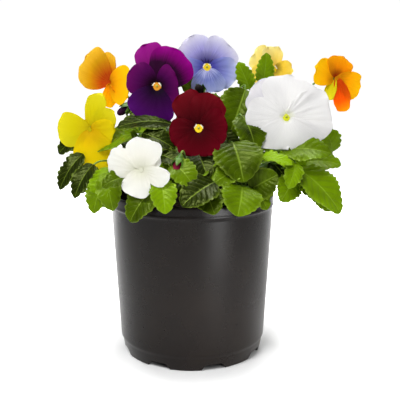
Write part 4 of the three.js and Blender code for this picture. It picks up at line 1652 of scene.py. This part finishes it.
    def add_calyx(
        self, growth: Growth, base: Vector, out: Vector, top: Vector, reach: float, lead: float
    ) -> None:
        """Adds the green cup behind a bloom or round a bud, and its five sepals.

        Args:
            growth: The plant's growth.
            base: The back of the cup.
            out: The way that it opens.
            top: The way to the bloom's top.
            reach: How far the sepals' tips stand from the axis.
            lead: How far the tips point beyond the cup's rim.
        """
        cup, rim, thick = 6.0, 3.2, 0.6
        green = growth.finishes.index(SEPAL)
        growth.tube(
            [base + h * out for h in (0, 1.5, 3.5, cup)], [1.5, 2.4, 3.0, rim], green, 14)
        part = np.linspace(0.0, 0.98, 12)[:, None]
        side = np.linspace(-1, 1, 7)[None, :]
        width = 2.6 if reach > 8 else 3.2
        for k in range(self.sepals):
            angle = math.radians((k + 0.5) * 360 / self.sepals)
            ray = top * math.cos(angle) + out.cross(top) * math.sin(angle)
            across = unit(out.cross(ray))
            far = rim - 0.6 + (reach - rim + 0.6) * np.sin(part * math.pi / 2)
            high = cup - 1.5 + (lead + 1.5) * part**1.3
            half = width * np.cos(part * math.pi / 2) ** 0.7 * side
            keel = -0.12 * width * side**2
            middles = (
                np.array(base) + spread(far + keel, ray) + spread(half, across)
                + spread(high + 0 * side, out))
            growth.sheet(middles, ray, thick, (green, green), np.zeros_like(middles))


PLANTS = (
    Plant("plant_front_left", (-32, -32), ("cream",), (), [
        Leaf((-74, -48, 196), (-82, -62, 161), 36, (-0.4, -0.8, 0.4), LeafTone.LIGHT_TONE),
        Leaf((-62, -76, 192), (-81, -82, 184), 16, (-0.2, -0.8, 0.5), LeafTone.DARK),
        Leaf((-36, -76, 181), (-56, -84, 152), 28, (-0.3, -0.8, 0.5), LeafTone.DARK),
        Leaf((-28, -80, 190), (-24, -95, 162), 24, (0.1, -0.8, 0.5), LeafTone.LIGHT_TONE),
        Leaf((-19, -38, 236), (-70, -46, 234), 26, (0, -0.5, 0.8), LeafTone.OLD),
        Leaf((-46, -52, 229), (-16, -56, 214), 22, (0, -0.7, 0.7), LeafTone.OLD),
    ], tone=0.2),
    Plant("plant_front", (0, -46), ("crimson",), ("bud_middle", "bud_front"), [
        Leaf((20, -76, 187), (-9, -92, 168), 32, (-0.2, -0.8, 0.6), LeafTone.OLD),
        Leaf((12, -72, 178), (20, -91, 160), 28, (0, -0.8, 0.6), LeafTone.DARK),
        Leaf((-17, -69, 204), (2, -81, 184), 24, (0, -0.8, 0.6), LeafTone.MID_TONE),
        Leaf((-30, -60, 210), (-6, -68, 199), 18, (0, -0.7, 0.7), LeafTone.OLD),
        Leaf((5, -50, 211), (14, -70, 190), 27, (0, -0.7, 0.7), LeafTone.OLD),
    ]),
    Plant("plant_front_right", (33, -33), ("white",), (), [
        Leaf((46, -70, 182), (41, -88, 158), 37, (0.2, -0.8, 0.6), LeafTone.MID_TONE),
        Leaf((56, -60, 178), (70, -68, 160), 20, (0.4, -0.8, 0.5), LeafTone.MID_TONE),
        Leaf((38, -50, 220), (47, -74, 187), 45, (0.1, -0.8, 0.5), LeafTone.DARK),
        Leaf((55, -57, 177), (79, -64, 192), 30, (0.3, -0.9, 0.4), LeafTone.DARK),
        Leaf((47, -58, 196), (16, -74, 183), 22, (0, -0.7, 0.7), LeafTone.MID_TONE),
        Leaf((66, -46, 206), (94, -54, 199), 16, (0.1, -0.5, 0.8), LeafTone.LIGHTEST),
        Leaf((48, -28, 243), (60, -46, 212), 32, (0.3, -0.8, 0.5), LeafTone.DARK),
        Leaf((98, -48, 200), (90, -58, 178), 18, (0.2, -0.9, 0.4), LeafTone.LIGHT_TONE),
    ], tone=0.5),
    Plant("plant_right", (47, 5), ("pale_yellow", "orange"), (), [
        Leaf((87, -34, 211), (132, -42, 208), 31, (0.1, -0.7, 0.7), LeafTone.MID_TONE),
        Leaf((103, -34, 192), (142, -46, 151), 36, (0.4, -0.8, 0.5), LeafTone.LIGHT_TONE),
        Leaf((110, -14, 195), (147, -18, 194), 27, (0.2, -0.6, 0.7), LeafTone.LIGHT_TONE),
        Leaf((142, 2, 204), (132, 0, 229), 24, (0.3, -0.9, 0.2), LeafTone.LIGHT_TONE),
        Leaf((73, 25, 270), (75, 18, 302), 18, (0, -1, 0.2), LeafTone.LIGHT_TONE),
        Leaf((98, -30, 182), (85, -46, 163), 26, (0.3, -0.8, 0.5), LeafTone.LIGHT_TONE),
    ], tone=0.55),
    Plant("plant_back", (8, 46), ("blue",), (), [
        Leaf((58, 8, 267), (46, 4, 293), 17, (-0.1, -1, 0.2), LeafTone.LIGHT_TONE),
        Leaf((8, 4, 260), (-12, -4, 277), 18, (0, -0.8, 0.4), LeafTone.MID_TONE),
    ]),
    Plant("plant_back_left", (-36, 30), ("golden",), ("bud_left",), [
        Leaf((-62, 2, 248), (-40, -4, 238), 17, (0, -0.7, 0.7), LeafTone.MID_TONE),
    ]),
    Plant("plant_left", (-48, -4), ("yellow",), (), [
        Leaf((-107, -18, 205), (-129, -30, 172), 20, (-0.4, -0.8, 0.4), LeafTone.OLD),
        Leaf((-95, -34, 197), (-112, -48, 167), 22, (-0.4, -0.8, 0.4), LeafTone.OLD),
        Leaf((-112, -2, 219), (-133, -6, 204), 20, (-0.4, -0.8, 0.4), LeafTone.OLD),
    ], tone=0.05),
    Plant("plant_middle", (-4, 0), ("purple",), (), [
        Leaf((52, -8, 267), (35, -26, 222), 39, (0.1, -0.9, 0.3), LeafTone.DARK),
    ], tone=0.6),
)

# small leaves that fill gaps inside the foliage, each with its plant
FILLERS = (
    ("plant_front_left", Leaf((-80, -48, 190), (-92, -62, 155), 26, (-0.4, -0.8, 0.4), LeafTone.MID_TONE)),
    ("plant_front_left", Leaf((-79, -56, 193), (-73, -68, 159), 24, (-0.2, -0.9, 0.4), LeafTone.MID_TONE)),
    ("plant_front_right", Leaf((24, -22, 228), (44, -32, 208), 24, (0.1, -0.8, 0.5), LeafTone.OLD)),
    ("plant_front_right", Leaf((66, -18, 224), (82, -32, 205), 22, (0.2, -0.8, 0.5), LeafTone.MID_TONE)),
    ("plant_right", Leaf((78, -16, 197), (99, -27, 170), 27, (0.2, -0.8, 0.5), LeafTone.OLD)),
    ("plant_right", Leaf((82, -10, 206), (114, -22, 186), 25, (0.2, -0.8, 0.6), LeafTone.LIGHTEST)),
    ("plant_right", Leaf((104, -30, 186), (134, -40, 152), 27, (0.3, -0.8, 0.5), LeafTone.LIGHT_TONE)),
    ("plant_back_left", Leaf((-60, -8, 244), (-44, -16, 236), 16, (0, -0.8, 0.5), LeafTone.MID_TONE)),
)


@dataclass(frozen=True)
class Ring:
    """A ring of further leaves round the pot's axis."""

    count: int
    first: float  # directions of its first and last leaf, in degrees from the front
    last: float
    base: tuple[float, float]  # radius and height of a leaf's base
    tip: tuple[float, float]  # and of its tip
    wide: float


RINGS = (
    Ring(9, 98, 276, (79, 192), (116, 166), 33),
    Ring(6, 86, 280, (54, 224), (93, 206), 37),
    Ring(4, 120, 260, (22, 250), (54, 242), 32),
    Ring(5, -78, 78, (38, 216), (66, 186), 36),
)

# which plant grows in each direction, up to the angle given, in degrees from the front
SECTORS = (
    (-110, "plant_back_left"), (-72, "plant_left"), (-22, "plant_front_left"), (22, "plant_front"),
    (66, "plant_front_right"), (125, "plant_right"), (205, "plant_back"),
    (250, "plant_back_left"), (288, "plant_left"),
)


def add_ring_leaves() -> None:
    """Adds the rings' leaves to the plants that grow in their directions."""
    draw = Draw(SEED)
    plants = {plant.name: plant for plant in PLANTS}

    def polar(angle: float, radius: float, height: float) -> Point:
        """Returns the point at an angle from the front."""
        turn = math.radians(angle)
        return (radius * math.sin(turn), -radius * math.cos(turn), height)

    for name, leaf in FILLERS:
        plants[name].leaves.append(leaf)
    for ring in RINGS:
        for k in range(ring.count):
            share = k / (ring.count - 1)
            angle = ring.first + (ring.last - ring.first) * share + draw.vary(3)
            swing = draw.vary(5)
            base = polar(angle, ring.base[0] + draw.vary(3), ring.base[1] + draw.vary(3))
            tip = polar(angle + swing, ring.tip[0] + draw.vary(5), ring.tip[1] + draw.vary(6))
            owner = next(name for limit, name in SECTORS if angle <= limit)
            plants[owner].leaves.append(Leaf(base, tip, ring.wide + draw.vary(4)))


# ---------------------------------------------------------------- studio


@dataclass
class Studio:
    """A white floor, soft light and the camera."""

    lens_mm: float = 65.25
    sensor_mm: float = 36.0
    camera_at: Point = (0.0, -725.0, 305.0)
    camera_turn: Point = (78.3, 0.0, -0.63)
    floor_mm: float = 12000.0
    fill: float = 0.15
    backdrop: float = 1.02
    paper: tuple[float, float] = (0.12, 0.88)  # its colour under the pot, painted dark as shade, and outside
    painted_shade_mm: tuple[float, float] = (61.0, 70.0)  # between these, from the axis, the painted shade under the pot turns light
    paper_lift: float = 0.95  # how much lighter the paper looks than it lights
    shade_mm: tuple[float, float] = (66.0, 170.0)  # from the axis, where the lift comes in; inside it the paper has no glow, which paints shade round the foot
    low_beam: float = 48.0  # how wide a light close above the floor shines
    low_mm: float = 100.0
    boxes: tuple[tuple[str, Point, Point, tuple[float, float], float], ...] = (
        ("Left softbox", (-480, 720, 200), (0, 0, 90), (380, 380), 6.5),
        ("Right softbox", (240, 890, 200), (0, 0, 90), (340, 340), 6.5),
        ("Low right card", (250, -330, 60), (0, 0, 40), (420, 110), 0.3),
        ("Key softbox", (-350, -700, 1100), (0, 0, 180), (520, 520), 13.0),
        ("Top softbox", (100, 200, 1300), (0, 0, 200), (600, 600), 9.5),
    )

    def build(self) -> None:
        """Sets the floor, the light and the camera."""
        self.set_world()
        self.set_floor()
        for name, place, target, size, power in self.boxes:
            light = bpy.data.lights.new(name, "AREA")
            light.shape = "RECTANGLE"
            light.size, light.size_y = size[0] * MM, size[1] * MM
            light.energy = power
            light.spread = math.radians(self.low_beam if place[2] < self.low_mm else 180.0)
            lamp = bpy.data.objects.new(name, light)
            lamp.location = Vector(place) * MM
            aim = Vector(target) - Vector(place)
            lamp.rotation_euler = aim.to_track_quat("-Z", "Y").to_euler()
            bpy.context.scene.collection.objects.link(lamp)
        lens = bpy.data.cameras.new("Camera")
        lens.lens = self.lens_mm
        lens.sensor_width = self.sensor_mm
        camera = bpy.data.objects.new("Camera", lens)
        camera.location = Vector(self.camera_at) * MM
        camera.rotation_euler = Euler([math.radians(a) for a in self.camera_turn])
        bpy.context.scene.collection.objects.link(camera)
        bpy.context.scene.camera = camera
        bpy.context.scene.view_settings.view_transform = "Standard"

    def set_world(self) -> None:
        """Makes the surroundings white to look at and a soft even fill light."""
        world = bpy.data.worlds.new("White studio")
        world.use_nodes = True
        tree = world.node_tree
        tree.nodes.clear()
        path = add_node(tree, "LightPath")
        strength = add_node(
            tree, "MapRange", {"To Min": self.fill, "To Max": self.backdrop},
            {"Value": (path, "Is Camera Ray")})
        back = add_node(
            tree, "Background", {"Color": (1, 1, 1, 1)}, {"Strength": (strength, "Result")})
        add_node(tree, "OutputWorld", links={"Surface": (back, 0)})
        bpy.context.scene.world = world

    def set_floor(self) -> None:
        """Lays the white floor that the pot stands on."""
        choose_none()
        bpy.ops.mesh.primitive_plane_add(size=self.floor_mm * MM)
        floor = bpy.context.object
        floor.name = "studio_floor"
        material, tree = new_material("White studio paper")
        path = add_node(tree, "LightPath")
        place = add_node(tree, "TexCoord")
        far = add_node(tree, "VectorMath", links={0: (place, "Object")}, operation="LENGTH")
        # the paper glows white to the camera, but the glow fades out towards the pot's foot:
        # painted shade over the pot's real soft shadow there
        clear = add_node(
            tree, "MapRange",
            {"From Min": self.shade_mm[0] * MM, "From Max": self.shade_mm[1] * MM,
             "To Max": self.paper_lift},
            {"Value": (far, "Value")}, interpolation_type="SMOOTHSTEP")
        # painted shade: the paper's own colour is dark under the pot, so that its drain channels
        # look shaded
        under = add_node(
            tree, "MapRange",
            {"From Min": self.painted_shade_mm[0] * MM, "From Max": self.painted_shade_mm[1] * MM,
             "To Min": self.paper[0], "To Max": self.paper[1]},
            {"Value": (far, "Value")}, interpolation_type="SMOOTHSTEP")
        lift = add_node(
            tree, "Math", links={0: (path, "Is Camera Ray"), 1: (clear, "Result")},
            operation="MULTIPLY")
        paper = add_node(
            tree, "BsdfPrincipled",
            {"Roughness": 0.9, "Specular IOR Level": 0.1, "Emission Color": (1, 1, 1, 1)},
            {"Base Color": (under, "Result"), "Emission Strength": (lift, "Value")})
        finish_surface(tree, paper)
        floor.data.materials.append(material)


def main() -> None:
    """Builds the planter and the studio."""
    logging.basicConfig(level=logging.INFO, format="%(name)s: %(message)s")
    paints = Paints()
    add_ring_leaves()
    pot = Pot()
    pot.build(paints)
    PottingMix(pot, [(*plant.crown, 0.0) for plant in PLANTS]).build(paints)
    for plant in PLANTS:
        plant.build(paints)
    for bloom in BLOOMS:
        bloom.build(paints)
    for bud in BUDS:
        bud.build(paints)
    Studio().build()


if __name__ == "__main__":
    main()
